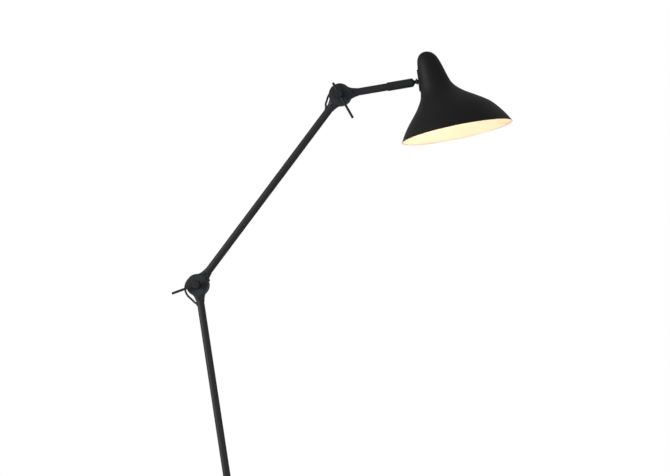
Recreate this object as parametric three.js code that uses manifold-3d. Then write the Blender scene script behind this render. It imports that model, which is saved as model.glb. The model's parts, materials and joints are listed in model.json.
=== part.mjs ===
// An adjustable arm floor lamp: a round weighted foot, a long post, an upper arm and a short head arm,
// joined by three half-lap knuckles that are each locked by a clamp screw with a tommy bar, and a
// hat-shaped shade on a ball stud. Millimetres, +Z up. The origin is the centre of the foot's underside,
// the arms lie in the XZ plane, and -Y is the side that the tommy bars are on.
import * as THREE from "three";
import { mergeVertices } from "three/addons/utils/BufferGeometryUtils.js";
import Module from "manifold-3d";

const wasm = await Module();
wasm.setup();

// ---------------------------------------------------------------- driving dimensions
const GAP = 0.3; // between two pieces that touch
const OVERCUT = 1; // how far a cutter runs past a face
const REACH = 120; // longer than any knuckle is deep, for cutters
const DEG = Math.PI / 180;

const TUBE_R = 9; // every tube has this outer radius
const TUBE_WALL = 1.5;
const CABLE_R = 2.5;

const FOOT_PIVOT_Z = 100; // height of the lowest pivot
const POST_LENGTH = 900; // pivot to pivot
const ARM_LENGTH = 572; // pivot to pivot
const POST_LEAN = -9; // degrees from upright, towards +X
const ARM_LEAN = 37.3;
const HEAD_LEAN = 81.4;

const DISC_R = 26.7; // knuckle disc
const KNUCKLE_HALF_WIDTH = 13; // from the middle plane to an outer face
const FRICTION_THICKNESS = 1;
const FRICTION_R = 24;
const NECK_WALL = 1.8; // of the round end that holds a tube
const NECK_CHAMFER = { length: 1.4, depth: 1.2 };
const FLARE_R = 30; // concave sweep between disc and neck
const POCKET_CLEARANCE = 0.7; // round the other half's disc
const SOCKET_WALL = 1.2; // between the pocket and the end of the tube
const SOCKET_DEPTH = 9;
const DISC_CHAMFER = 1.2;

const SCREW_R = 4; // clamp screw shank
const BOSS_R = 9;
const BOSS_LENGTH = 14.2;
const BOSS_CHAMFER = 0.8;
const WASHER_R = 9.8;
const WASHER_THICKNESS = 1.2;
const NUT_R = 7.5; // across corners
const NUT_THICKNESS = 5.5;
const BAR_R = 3;
const BAR_LENGTH = 98;
const BAR_REACH = { foot: 65, elbow: 62.5, upper: 67.5 }; // from the screw's axis to the long end
const BAR_CHAMFER = 0.7;
const BAR_ANGLES = { foot: 214, elbow: 199.5, upper: 299.5 }; // degrees from +X towards +Z

const GRUB_R = 2.6;
const GRUB_LENGTH = 5.2;
const GRUB_KEY = { radius: 1.43, depth: 2.08 }; // its hexagon socket
const GRUB_EDGE = 0.7; // between the end of the tube and the hole for the set screw
const EXIT_R = CABLE_R + 0.9; // slanting hole in the tube
const GROMMET_R = 3.8;
const GROMMET_WALL = 1.3;
const CUFF_LENGTH = 4.2;
const CUFF_WALL = 0.9;
const CABLE_SIDES = 8;
const SADDLE_SPAN = [-3, 12]; // ends of the slanting cutters, outwards from the tube's surface
const SADDLE_HOLE_SPAN = [-4, 14];
const EXIT_SPAN = [-8, 12];
const LEAD_RUN_IN = 25; // how far a cable loop runs on inside a tube
const LEAD_BEND = { onAxis: 2.5, inside: 6, outside: 8 }; // where it turns out of the tube

const BASE_R = 140;
const BASE_EDGE_Z = 17.5; // top of the cover near its rim
const BASE_CROWN_Z = 21; // top of the cover at its middle
const COVER_SHOULDER = 10; // how far in from the rim the cover turns down
const COVER_WALL = 1.5;
const COVER_FOOT_Z = 1.6; // lower edge of the cover
const FELT_THICKNESS = 3;
const WEIGHT_R = BASE_R - COVER_WALL - 7.5;
const WEIGHT_CHAMFER = 2.5;
const WEIGHT_ROOM = 1.2; // under the cover
const LEAD_SLOT_HALF_WIDTH = 4; // in the weight's underside
const NUT_RECESS_R = 12.5;
const NUT_RECESS_ROOM = 1;
const STUD_R = 4.9; // hollow threaded rods
const STUD_BORE_R = 3;
const STUD_NUT_R = 8.5; // across corners
const STUD_LIFT = 0.5; // of the foot's stud above the weight's underside
const STUD_BELOW_EXIT = 17; // from the stem's cable hole down to the stud's top
const STEM_PLUG = 2; // the stem is solid up to here, above the stud
const STEM_COLLAR_R = 16;
const STEM_COLLAR_DOME = [[0, 4], [1.5, 6.4], [4, 8]]; // in from its side, and up
const GLAND_R = 4;
const GLAND_Z = 9;
const GLAND_DEPTH = 8; // behind the rim
const GLAND_HEAD = [[0, 0.5], [2, 0.5], [1.4, 3]]; // out from its body, and out from the rim
const GLAND_END = 4;

const COLLAR_START = 115; // along the head arm, from its pivot
const COLLAR_LENGTH = 13.5;
const COLLAR_PLUG = 6; // the collar's solid end, past the tube
const COLLAR_EDGE = 0.6;
const SEAM_EDGE = 0.3; // where the collar and the barrel meet
const SPIGOT_LENGTH = 10;
const BARREL_STEP = 1.5; // the barrel's radius beyond the tube's
const BARREL_WALL = 2.7;
const BARREL_END = 178.5;
const BARREL_CHAMFER = 2.4;
const BALL_SET_BACK = 2.8; // ball centre, behind the barrel's end
const BALL_LIP = 0.5; // where the barrel's end starts to close over the ball
const STUD_NECK = { length: 0.2, radius: 4.3, root: 4 }; // straight part, in front of the ball
const STUD_FLANGE_R = 7.8;
const STUD_FLANGE = 1;
const FLANGE_ROOM = 1.5; // between the flange and the plate, which is curved
const STUD_SPARE = 0.7; // thread beyond the nut

const SHADE_TILT = -11.3; // degrees: the opening rises towards +X
const SHADE_R = 133.8; // of the opening
const SHADE_NECK_R = 35.3; // of the neck's foot
const SHADE_HEIGHT = 205.8;
const SHADE_WALL = 1.2;
const SHADE_WAIST_SHIFT = 27; // how far the waist carries the neck to -X
const WAIST = { from: 0.243, to: 0.622 }; // shares of the height
const NECK_FOOT = 0.56; // share of the height above which the neck leans
const NECK_BLEND = 8;
const SHADE_NECK_LEAN = 0.11; // the neck's run to -X for its rise
const BALL_BELOW_CROWN = 66.3;
const BALL_STANDOFF = 16.9; // from the ball centre to the outside of the neck
const PLATE_LENGTH = 53;
const PLATE_WIDTH = 22;
const PLATE_RAISE = 1.5;
const PLATE_THICKNESS = 2.2;
const TAB_ROOM = 4.1; // between the neck's wall and the bracket in it
const BRACKET_THICKNESS = 1.5;
const BRACKET_HALF_WIDTH = 8;
const BRACKET_BELOW = 11; // from the stud's axis to the bracket's lower end
const BRACKET_RIM = 4; // round the hole for the lampholder
const HOLDER_ROOM = 1.6; // between the stud's end and the lampholder
const HOLDER_R = 19.5;
const HOLDER_LENGTH = 50;
const HOLDER_BELOW_CROWN = 43.8;
const HOLDER_EDGE = 1;
const HOLDER_DOME = [[0, 15], [3, 9], [7, 2], [9, 0]]; // in from its side, and down from its top
const NIPPLE_RISE = 6; // above the bracket
const GLASS_IN_HOLDER = 4;
const GLASS_IN_CAP = 0.6; // the neck's radius is less than the cap's by this
const GLASS_ARC = { from: -72, to: 36, step: 18 }; // degrees on the round part
const GLASS_NECK = [[5, 15], [0, 3]]; // out from the neck, and below the lampholder
const BULB_R = 30;
const BULB_LENGTH = 80; // of the glass
const BULB_WALL = 1;
const BULB_CAP_R = 13.2;
const BULB_CAP_LENGTH = 24;
const BULB_CAP_ROOM = 0.6;
const BULB_CAP_DOME = [[0, 5], [5, 1.5]]; // in from its side, and down from its top
const BULB_CONTACT_R = 4;

const LARGE_ROUND = 36; // sides of the foot and the shade
const DISC_ROUND = 32;
const ROUND = 20;
const SHADE_STEPS = 14;
const FLARE_STEPS = 5;
const LOOP_STEPS = 34;
const BALL_STEPS = 8;
const SMALL_ROUND = 12;
const HEXAGON = 6;

// ---------------------------------------------------------------- sizes that follow from them
const FACE = FRICTION_THICKNESS / 2 + GAP; // a knuckle half's mating face, from the middle plane
const POCKET_R = DISC_R + POCKET_CLEARANCE;
const SOCKET_START = POCKET_R + SOCKET_WALL; // places along a member are from its pivot
const SOCKET_R = TUBE_R + GAP;
const TUBE_START = SOCKET_START + GAP;
const TUBE_BORE_R = TUBE_R - TUBE_WALL;
const NECK_R = SOCKET_R - GAP + NECK_WALL;
const NECK_END = SOCKET_START + SOCKET_DEPTH;
const GRUB_HOLE_R = GRUB_R + GAP;
const GRUB_PLACE = TUBE_START + GRUB_EDGE + GRUB_HOLE_R;
const EXIT_PLACE = NECK_END + GROMMET_R * Math.SQRT2 + GROMMET_WALL + 3 * GAP; // where a cable leaves a tube
const SCREW_HOLE_R = SCREW_R + GAP;
const NUT_TOP = KNUCKLE_HALF_WIDTH - GAP;
const NUT_FOOT = NUT_TOP - NUT_THICKNESS;
const WASHER_FRONT = -KNUCKLE_HALF_WIDTH - GAP - WASHER_THICKNESS;
const BOSS_BACK = WASHER_FRONT - GAP;
const BAR_DEPTH = BOSS_BACK - BOSS_LENGTH / 2;
const BARREL_R = TUBE_R + BARREL_STEP;
const BARREL_BORE_R = BARREL_R - BARREL_WALL;
const BALL_R = BARREL_BORE_R - GAP;
const STUD_HOLE_R = STUD_R + GAP;
const BALL_PLACE = BARREL_END - BALL_SET_BACK;

// A closed geometry as a manifold-3d solid, facing out.
function solid(geometry) {
  const bare = geometry.index ? geometry.toNonIndexed() : geometry.clone();
  bare.deleteAttribute("normal");
  bare.deleteAttribute("uv");
  const merged = mergeVertices(bare, 1e-4);
  const build = (order) => {
    const triVerts = new Uint32Array(merged.index.array);
    if (order < 0) triVerts.reverse();
    return new wasm.Manifold(
      new wasm.Mesh({
        numProp: 3,
        vertProperties: merged.attributes.position.array,
        triVerts,
      }),
    );
  };
  const made = build(1);
  return made.volume() < 0 ? build(-1) : made;
}

// A manifold-3d solid as a three.js geometry.
function geometryOf(manifold) {
  const mesh = manifold.getMesh();
  const positions = new Float32Array(mesh.numVert * 3);
  for (let i = 0; i < mesh.numVert; i++) {
    positions.set(mesh.vertProperties.subarray(i * mesh.numProp, i * mesh.numProp + 3), i * 3);
  }
  const geometry = new THREE.BufferGeometry();
  geometry.setAttribute("position", new THREE.BufferAttribute(positions, 3));
  geometry.setIndex(new THREE.BufferAttribute(mesh.triVerts, 1));
  geometry.computeVertexNormals();
  return geometry;
}

const join = (first, ...rest) => rest.reduce((sum, next) => sum.add(next), first);
const cut = (first, ...rest) => rest.reduce((left, next) => left.subtract(next), first);

// A profile of [radius, height] points turned about Z. It starts and ends on the axis.
function turned(profile, sides = ROUND) {
  const points = profile.map(([r, z]) => new THREE.Vector2(r, z));
  return solid(new THREE.LatheGeometry(points, sides).rotateX(Math.PI / 2));
}

// The same for a profile that closes on itself, round a hole.
const turnedRing = (profile, sides = ROUND) => turned([...profile, profile[0]], sides);

// A plain or hollow cylinder about Z between two heights.
function rod(radius, low, high, sides = ROUND) {
  return turned([[0, low], [radius, low], [radius, high], [0, high]], sides);
}

function sleeve(outer, inner, low, high, sides = ROUND) {
  return turnedRing([[inner, low], [outer, low], [outer, high], [inner, high]], sides);
}

// A cylinder with both end edges chamfered.
function chamferedRod(radius, low, high, chamfer, sides = ROUND) {
  return turned(
    [
      [0, low],
      [radius - chamfer, low],
      [radius, low + chamfer],
      [radius, high - chamfer],
      [radius - chamfer, high],
      [0, high],
    ],
    sides,
  );
}

function block(x, y, z) {
  const [w, d, h] = [x, y, z].map(([low, high]) => high - low);
  const [cx, cy, cz] = [x, y, z].map(([low, high]) => (low + high) / 2);
  return solid(new THREE.BoxGeometry(w, d, h).translate(cx, cy, cz));
}

// Turns a solid from the Z axis to the Y axis, so that its height runs along +Y.
const alongY = (manifold) => manifold.rotate([-90, 0, 0]);

// Turns a solid from the Z axis to the X axis, so that its height runs along +X.
const alongX = (manifold) => manifold.rotate([0, 90, 0]);

// ---------------------------------------------------------------- finishes
const FINISHES = {
  arm_black: { color: 0x2b2d30, roughness: 0.5, metalness: 0.3 },
  shade_black: { color: 0x1b1c1b, roughness: 0.65, metalness: 0.1 },
  screw_black: { color: 0x1d1e20, roughness: 0.45, metalness: 0.6 },
  rubber: { color: 0x0d0d0d, roughness: 0.8, metalness: 0 },
  cable: { color: 0x141414, roughness: 0.6, metalness: 0 },
  friction_fibre: { color: 0x4a3a2a, roughness: 0.9, metalness: 0 },
  zinc: { color: 0xb8babc, roughness: 0.35, metalness: 1 },
  cast_iron: { color: 0x3a3a3a, roughness: 0.8, metalness: 0.6 },
  felt: { color: 0x202020, roughness: 1, metalness: 0 },
  holder_plastic: { color: 0x101010, roughness: 0.4, metalness: 0 },
  lamp_cap: { color: 0xc8c4b8, roughness: 0.3, metalness: 1 },
  lamp_glass: { color: 0xfff2dc, roughness: 0.3, metalness: 0 },
};

const root = new THREE.Group();

function add(parent, name, finishName, manifold) {
  const material = new THREE.MeshStandardMaterial(FINISHES[finishName]);
  const mesh = new THREE.Mesh(geometryOf(manifold), material);
  mesh.name = name;
  parent.add(mesh);
  return mesh;
}

// ---------------------------------------------------------------- where the members are
const leaning = (degrees) => new THREE.Vector3(Math.sin(degrees * DEG), 0, Math.cos(degrees * DEG));
const FOOT = new THREE.Vector3(0, 0, FOOT_PIVOT_Z);
const ELBOW = FOOT.clone().addScaledVector(leaning(POST_LEAN), POST_LENGTH);
const UPPER = ELBOW.clone().addScaledVector(leaning(ARM_LEAN), ARM_LENGTH);
const BALL = UPPER.clone().addScaledVector(leaning(HEAD_LEAN), BALL_PLACE);

// A group whose Z axis runs along a member, from a pivot.
function member(pivot, lean) {
  const group = new THREE.Group();
  group.position.copy(pivot);
  group.rotation.y = lean * DEG;
  root.add(group);
  return group;
}

const base = new THREE.Group();
root.add(base);
const post = member(FOOT, POST_LEAN);
const arm = member(ELBOW, ARM_LEAN);
const head = member(UPPER, HEAD_LEAN);
const shadeGroup = member(BALL, SHADE_TILT);

// ---------------------------------------------------------------- knuckle halves
// Radius of the neck at a distance from the pivot: the disc's edge, then a concave arc that is tangent
// to the disc and to the straight neck.
function neckRadius(distance) {
  const arcCentre = Math.sqrt((DISC_R + FLARE_R) ** 2 - (NECK_R + FLARE_R) ** 2);
  const tangent = (arcCentre * DISC_R) / (DISC_R + FLARE_R);
  if (distance < tangent) return Math.sqrt(DISC_R ** 2 - distance ** 2);
  if (distance > arcCentre) return NECK_R;
  return NECK_R + FLARE_R - Math.sqrt(FLARE_R ** 2 - (arcCentre - distance) ** 2);
}

// The hole for the set screw, in the front of a neck and in the tube in it.
const grubHole = () => alongY(rod(GRUB_HOLE_R, -REACH, 0, SMALL_ROUND)).translate([0, 0, GRUB_PLACE]);

// One half of a knuckle, pivot at the origin, neck along +Z. side is -1 for the half whose disc is at
// the front (-Y) and 1 for the one at the back, which also holds the nut.
function knuckleHalf(side) {
  const first = DISC_R * 0.45;
  const last = NECK_END - NECK_CHAMFER.length;
  const flare = [[0, first]];
  for (let i = 0; i <= FLARE_STEPS; i++) {
    const distance = first + ((last - first) * i) / FLARE_STEPS;
    flare.push([neckRadius(distance), distance]);
  }
  flare.push([NECK_R - NECK_CHAMFER.depth, NECK_END], [0, NECK_END]);
  const slab = block([-REACH, REACH], [-KNUCKLE_HALF_WIDTH, KNUCKLE_HALF_WIDTH], [0, REACH]);
  const neck = turned(flare).intersect(slab);
  const thick = KNUCKLE_HALF_WIDTH;
  const disc = alongY(
    turned(
      [
        [0, FACE],
        [DISC_R, FACE],
        [DISC_R, thick - DISC_CHAMFER],
        [DISC_R - DISC_CHAMFER, thick],
        [0, thick],
      ],
      DISC_ROUND,
    ),
  ).rotate([side < 0 ? 180 : 0, 0, 0]);
  const pocket = alongY(rod(POCKET_R, -FACE, REACH, DISC_ROUND)).rotate([side < 0 ? 0 : 180, 0, 0]);
  const socket = rod(SOCKET_R, SOCKET_START, NECK_END + OVERCUT);
  const hole = alongY(rod(SCREW_HOLE_R, -REACH, REACH, SMALL_ROUND));
  let half = join(disc, cut(neck, pocket));
  half = cut(half, socket, hole, grubHole());
  if (side > 0) {
    half = half.subtract(alongY(rod(NUT_R + GAP, NUT_FOOT - GAP, REACH, HEXAGON)));
  }
  return half;
}

// A set screw in the front of a neck, with a hexagon socket.
function grubScrew() {
  const neckFront = Math.min(neckRadius(GRUB_PLACE), KNUCKLE_HALF_WIDTH);
  const screw = rod(GRUB_R, 0, GRUB_LENGTH, SMALL_ROUND);
  const key = rod(GRUB_KEY.radius, -OVERCUT, GRUB_KEY.depth, HEXAGON);
  return alongY(cut(screw, key)).translate([0, -neckFront + GAP, GRUB_PLACE]);
}

// The screw that clamps a knuckle: a boss in front with a cross hole for its bar, and a shank to the nut.
function clampScrew(angle) {
  const boss = chamferedRod(BOSS_R, BOSS_BACK - BOSS_LENGTH, BOSS_BACK, BOSS_CHAMFER);
  const shank = rod(SCREW_R, BOSS_BACK - OVERCUT, NUT_TOP, SMALL_ROUND);
  const cross = alongX(rod(BAR_R + GAP, -REACH, REACH, SMALL_ROUND));
  return cut(alongY(join(boss, shank)), cross.rotate([0, -angle, 0]).translate([0, BAR_DEPTH, 0]));
}

// A hexagon nut about Z between two heights.
function nut(radius, holeRadius, low, high) {
  return cut(rod(radius, low, high, HEXAGON), rod(holeRadius, low - OVERCUT, high + OVERCUT, SMALL_ROUND));
}

// The nut that sits in the back half, and turns with it.
const clampNut = () => alongY(nut(NUT_R, SCREW_HOLE_R, NUT_FOOT, NUT_TOP));

function tommyBar(angle, reach) {
  const bar = chamferedRod(BAR_R, reach - BAR_LENGTH, reach, BAR_CHAMFER, SMALL_ROUND);
  return alongX(bar).rotate([0, -angle, 0]).translate([0, BAR_DEPTH, 0]);
}

// What every knuckle has besides its halves.
function knuckleFittings(name, pivot) {
  const group = new THREE.Group();
  group.position.copy(pivot);
  root.add(group);
  const angle = BAR_ANGLES[name];
  const washerBack = -KNUCKLE_HALF_WIDTH - GAP;
  const disc = sleeve(FRICTION_R, SCREW_HOLE_R, -FRICTION_THICKNESS / 2, FRICTION_THICKNESS / 2);
  const washer = sleeve(WASHER_R, SCREW_HOLE_R, WASHER_FRONT, washerBack);
  add(group, name + "_friction_disc", "friction_fibre", alongY(disc));
  add(group, name + "_clamp_screw", "arm_black", clampScrew(angle));
  add(group, name + "_tommy_bar", "arm_black", tommyBar(angle, BAR_REACH[name]));
  add(group, name + "_clamp_washer", "arm_black", alongY(washer));
}

// ---------------------------------------------------------------- tubes and the cable's way out of them
// A slanting cylinder on the line that a cable takes out of a tube about Z: towards the pivot at z = 0
// and outwards, to -X or to +Y.
function slantRod(radius, low, high, towards) {
  const turn = towards === "back" ? -90 : 0;
  return rod(radius, low, high, SMALL_ROUND)
    .rotate([0, -135, 0])
    .translate([-TUBE_R, 0, EXIT_PLACE])
    .rotate([0, 0, turn]);
}

// A rubber cuff on the tube at the neck's end, with a saddle round the cable's hole.
function grommet(towards) {
  const shell = sleeve(SOCKET_R + GROMMET_WALL, SOCKET_R, 0, REACH);
  const saddle = shell.intersect(slantRod(GROMMET_R, ...SADDLE_SPAN, towards));
  const cuff = sleeve(SOCKET_R + CUFF_WALL, SOCKET_R, NECK_END + GAP, NECK_END + GAP + CUFF_LENGTH);
  return cut(join(saddle, cuff), slantRod(CABLE_R + GAP, ...SADDLE_HOLE_SPAN, towards));
}

// Takes a solid from one end of a member to the other end, so that both have +Z towards the middle.
const atFarEnd = (manifold, length) => manifold.rotate([0, 180, 0]).translate([0, 0, length]);

// Both ends of a member can have a cable exit. The far end's is mirrored with it, so its -X exit is
// turned half round to stay on the same side of the lamp.
function farExit(manifold, towards, length) {
  const sameSide = towards === "left" ? manifold.rotate([0, 0, 180]) : manifold;
  return atFarEnd(sameSide, length);
}

// ---------------------------------------------------------------- the post and the upper arm

// A tube between two pivots, with a hole for a set screw and for the cable at each end.
function armTube(length) {
  return cut(
    sleeve(TUBE_R, TUBE_BORE_R, TUBE_START, length - TUBE_START),
    grubHole(),
    atFarEnd(grubHole(), length),
    slantRod(EXIT_R, ...EXIT_SPAN, "back"),
    farExit(slantRod(EXIT_R, ...EXIT_SPAN, "left"), "left", length),
  );
}

// The straight cable inside a member, between the ends of its two loops.
function innerLead(length) {
  const start = EXIT_PLACE + LEAD_RUN_IN + GAP;
  return rod(CABLE_R, start, length - start, CABLE_SIDES);
}

function armMember(group, name, length, low, high, side) {
  add(group, low + "_knuckle_" + name, "arm_black", knuckleHalf(side));
  add(group, high + "_knuckle_" + name, "arm_black", atFarEnd(knuckleHalf(side), length));
  add(group, low + "_" + name + "_grub_screw", "screw_black", grubScrew());
  add(group, high + "_" + name + "_grub_screw", "screw_black", atFarEnd(grubScrew(), length));
  add(group, name + "_tube", "arm_black", armTube(length));
  add(group, name + "_lead", "cable", innerLead(length));
  add(group, low + "_" + name + "_grommet", "rubber", grommet("back"));
  add(group, high + "_" + name + "_grommet", "rubber", farExit(grommet("left"), "left", length));
}

armMember(post, "post", POST_LENGTH, "foot", "elbow", -1);
armMember(arm, "arm", ARM_LENGTH, "elbow", "upper", 1);
add(arm, "elbow_clamp_nut", "zinc", clampNut());
add(arm, "upper_clamp_nut", "zinc", atFarEnd(clampNut(), ARM_LENGTH));

// ---------------------------------------------------------------- the head arm and its swivel
add(head, "upper_knuckle_head", "arm_black", knuckleHalf(-1));
add(head, "upper_head_grub_screw", "screw_black", grubScrew());
add(head, "upper_head_grommet", "rubber", grommet("back"));

const COLLAR_END = COLLAR_START + COLLAR_LENGTH;
const HEAD_TUBE_END = COLLAR_END - COLLAR_PLUG;
const BARREL_START = COLLAR_END + GAP;
const SPIGOT_R = BARREL_BORE_R - GAP;
const SPIGOT_END = COLLAR_END + SPIGOT_LENGTH;
const LIP_R = Math.sqrt(BALL_R ** 2 - BALL_SET_BACK ** 2) + GAP;

add(
  head,
  "head_tube",
  "arm_black",
  cut(
    sleeve(TUBE_R, TUBE_BORE_R, TUBE_START, HEAD_TUBE_END),
    grubHole(),
    slantRod(EXIT_R, ...EXIT_SPAN, "back"),
  ),
);
add(
  head,
  "head_collar",
  "arm_black",
  turnedRing(
    [
      [STUD_BORE_R, HEAD_TUBE_END + GAP],
      [SOCKET_R, HEAD_TUBE_END + GAP],
      [SOCKET_R, COLLAR_START],
      [BARREL_R - COLLAR_EDGE, COLLAR_START],
      [BARREL_R, COLLAR_START + COLLAR_EDGE],
      [BARREL_R, COLLAR_END - SEAM_EDGE],
      [BARREL_R - SEAM_EDGE, COLLAR_END],
      [SPIGOT_R, COLLAR_END],
      [SPIGOT_R, SPIGOT_END],
      [STUD_BORE_R, SPIGOT_END],
    ],
  ),
);
add(
  head,
  "head_barrel",
  "arm_black",
  turnedRing(
    [
      [BARREL_BORE_R, BARREL_START],
      [BARREL_R - SEAM_EDGE, BARREL_START],
      [BARREL_R, BARREL_START + SEAM_EDGE],
      [BARREL_R, BARREL_END - BARREL_CHAMFER],
      [BARREL_R - BARREL_CHAMFER, BARREL_END],
      [LIP_R, BARREL_END],
      [BARREL_BORE_R, BALL_PLACE + BALL_LIP],
    ],
  ),
);

// ---------------------------------------------------------------- the shade and what is in it
// In the shade's own frame the ball centre is the origin and X is the stud's axis. Heights are above
// the opening, whose middle is at SHADE_FROM_BALL.
const smoothstep = (low, high, value) => {
  const t = Math.min(1, Math.max(0, (value - low) / (high - low)));
  return t * t * (3 - 2 * t);
};

// How far the shade's round sections stand off the opening's axis at a height above it: the waist
// carries them to -X, and the neck goes on leaning.
function shadeShift(height) {
  const share = height / SHADE_HEIGHT;
  const above = height - NECK_FOOT * SHADE_HEIGHT;
  const waist = SHADE_WAIST_SHIFT * smoothstep(WAIST.from, WAIST.to, share);
  return -waist - (SHADE_NECK_LEAN / 2) * (above + Math.hypot(above, NECK_BLEND));
}

// The outside of the shade from the rim to the crown. The flare's points are shares of the way from the
// neck to the rim, and the neck's are shares of its radius, both with a share of the height.
const FLARE = [
  [1, 0],
  [0.893, 0.092],
  [0.755, 0.185],
  [0.588, 0.277],
  [0.382, 0.369],
  [0.179, 0.462],
  [0.058, 0.554],
];
const NECK = [
  [1, 0.651],
  [0.902, 0.743],
  [0.807, 0.836],
  [0.659, 0.923],
  [0.436, 0.974],
  [0.182, 0.996],
  [0, 1],
];
const SHADE_OUTLINE = new THREE.SplineCurve([
  ...FLARE.map(([share, z]) => {
    return new THREE.Vector2(SHADE_NECK_R + (SHADE_R - SHADE_NECK_R) * share, z * SHADE_HEIGHT);
  }),
  ...NECK.map(([share, z]) => new THREE.Vector2(SHADE_NECK_R * share, z * SHADE_HEIGHT)),
]);

// The shade's outline moved outwards by a distance, from rim to crown, ending on the axis.
function shadeOutline(offset) {
  const points = [];
  for (let i = 0; i < SHADE_STEPS; i++) {
    const at = SHADE_OUTLINE.getPoint(i / SHADE_STEPS);
    const along = SHADE_OUTLINE.getTangent(i / SHADE_STEPS);
    points.push([at.x + along.y * offset, at.y - along.x * offset]);
  }
  points.push([0, SHADE_HEIGHT + offset]);
  return points;
}

// The outline's radius at a height, found by halving.
function shadeRadius(height) {
  let [low, high] = [0, 1];
  for (let i = 0; i < 20; i++) {
    const middle = (low + high) / 2;
    if (SHADE_OUTLINE.getPoint(middle).y < height) low = middle;
    else high = middle;
  }
  return SHADE_OUTLINE.getPoint(low).x;
}

const BALL_HEIGHT = SHADE_HEIGHT - BALL_BELOW_CROWN;
const SHADE_FROM_BALL = [
  BALL_STANDOFF + shadeRadius(BALL_HEIGHT) - shadeShift(BALL_HEIGHT),
  -BALL_HEIGHT,
];

// Moves each round section of a turned solid sideways, so that it leans as the shade does, and sets
// it where the shade stands from the ball.
function leanWithShade(manifold) {
  return manifold
    .warp((vertex) => {
      vertex[0] += shadeShift(vertex[2]);
    })
    .translate([SHADE_FROM_BALL[0], 0, SHADE_FROM_BALL[1]]);
}

const TAB_FACE = BALL_STANDOFF + SHADE_WALL + TAB_ROOM;
const TAB_BACK = TAB_FACE + BRACKET_THICKNESS;
const STUD_NUT_FACE = TAB_BACK + GAP;
const STUD_END = STUD_NUT_FACE + NUT_THICKNESS + STUD_SPARE;
const HOLDER_AXIS = STUD_END + HOLDER_ROOM + HOLDER_R; // from the ball
const studHole = alongX(rod(STUD_HOLE_R, -OVERCUT, STUD_END, SMALL_ROUND));
const [rimOutside, ...restOutside] = shadeOutline(0);
const inside = shadeOutline(-SHADE_WALL).reverse();
inside[inside.length - 1] = [SHADE_R - SHADE_WALL, 0];
const shellOutline = [...restOutside.reverse(), rimOutside, ...inside.reverse()];
const shell = leanWithShade(turned(shellOutline, LARGE_ROUND));
add(shadeGroup, "shade", "shade_black", cut(shell, studHole));

// A saddle plate that hugs the neck round the stud.
const shadeOutside = (offset) => leanWithShade(turned([[0, 0], ...shadeOutline(offset)], LARGE_ROUND));
const plateEnd = alongX(rod(PLATE_WIDTH / 2, 0, HOLDER_AXIS, SMALL_ROUND));
const plateReach = (PLATE_LENGTH - PLATE_WIDTH) / 2;
const plateOutline = join(
  block([0, HOLDER_AXIS], [-PLATE_WIDTH / 2, PLATE_WIDTH / 2], [-plateReach, plateReach]),
  plateEnd.translate([0, 0, plateReach]),
  plateEnd.translate([0, 0, -plateReach]),
).translate([0, 0, PLATE_RAISE]);
const plateShell = cut(shadeOutside(GAP + PLATE_THICKNESS), shadeOutside(GAP));
add(shadeGroup, "mount_plate", "rubber", cut(plateShell.intersect(plateOutline), studHole));

// The ball stud: a ball, a narrow neck, a cone that ends in a flange against the plate, and a thread.
// It is hollow, for the lead.
const flangeFace = BALL_STANDOFF - GAP - PLATE_THICKNESS - FLANGE_ROOM;
const ballProfile = [];
const ballBack = Math.acos(STUD_BORE_R / BALL_R);
const ballFront = Math.acos(STUD_NECK.root / BALL_R);
for (let i = 0; i <= BALL_STEPS; i++) {
  const angle = -ballBack + ((ballBack + ballFront) * i) / BALL_STEPS;
  ballProfile.push([BALL_R * Math.cos(angle), BALL_R * Math.sin(angle)]);
}
const ballStud = turnedRing([
  ...ballProfile,
  [STUD_NECK.radius, BALL_R + STUD_NECK.length],
  [STUD_FLANGE_R, flangeFace - STUD_FLANGE],
  [STUD_FLANGE_R, flangeFace],
  [STUD_R, flangeFace],
  [STUD_R, STUD_END],
  [STUD_BORE_R, STUD_END],
]);
add(shadeGroup, "ball_stud", "arm_black", alongX(ballStud));

// The bracket on the stud, which holds the lampholder by its threaded nipple.
const inHolder = (manifold) => manifold.translate([HOLDER_AXIS, 0, -BALL_HEIGHT]);
const holderTop = SHADE_HEIGHT - HOLDER_BELOW_CROWN;
const holderFoot = holderTop - HOLDER_LENGTH;
const bracketFoot = holderTop + GAP;
const bracketTop = bracketFoot + BRACKET_THICKNESS;
const bracketWidth = [-BRACKET_HALF_WIDTH, BRACKET_HALF_WIDTH];
const bracket = join(
  block([TAB_FACE, TAB_BACK], bracketWidth, [-BRACKET_BELOW, bracketTop - BALL_HEIGHT]),
  block(
    [TAB_FACE, HOLDER_AXIS + STUD_R + BRACKET_RIM],
    bracketWidth,
    [bracketFoot - BALL_HEIGHT, bracketTop - BALL_HEIGHT],
  ),
);
const nippleHole = inHolder(rod(STUD_HOLE_R, bracketFoot - OVERCUT, bracketTop + OVERCUT, SMALL_ROUND));
const studNut = nut(STUD_NUT_R, STUD_HOLE_R, STUD_NUT_FACE, STUD_NUT_FACE + NUT_THICKNESS);
add(shadeGroup, "holder_bracket", "zinc", cut(bracket, studHole, nippleHole));
add(shadeGroup, "stud_nut", "zinc", alongX(studNut));

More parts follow.
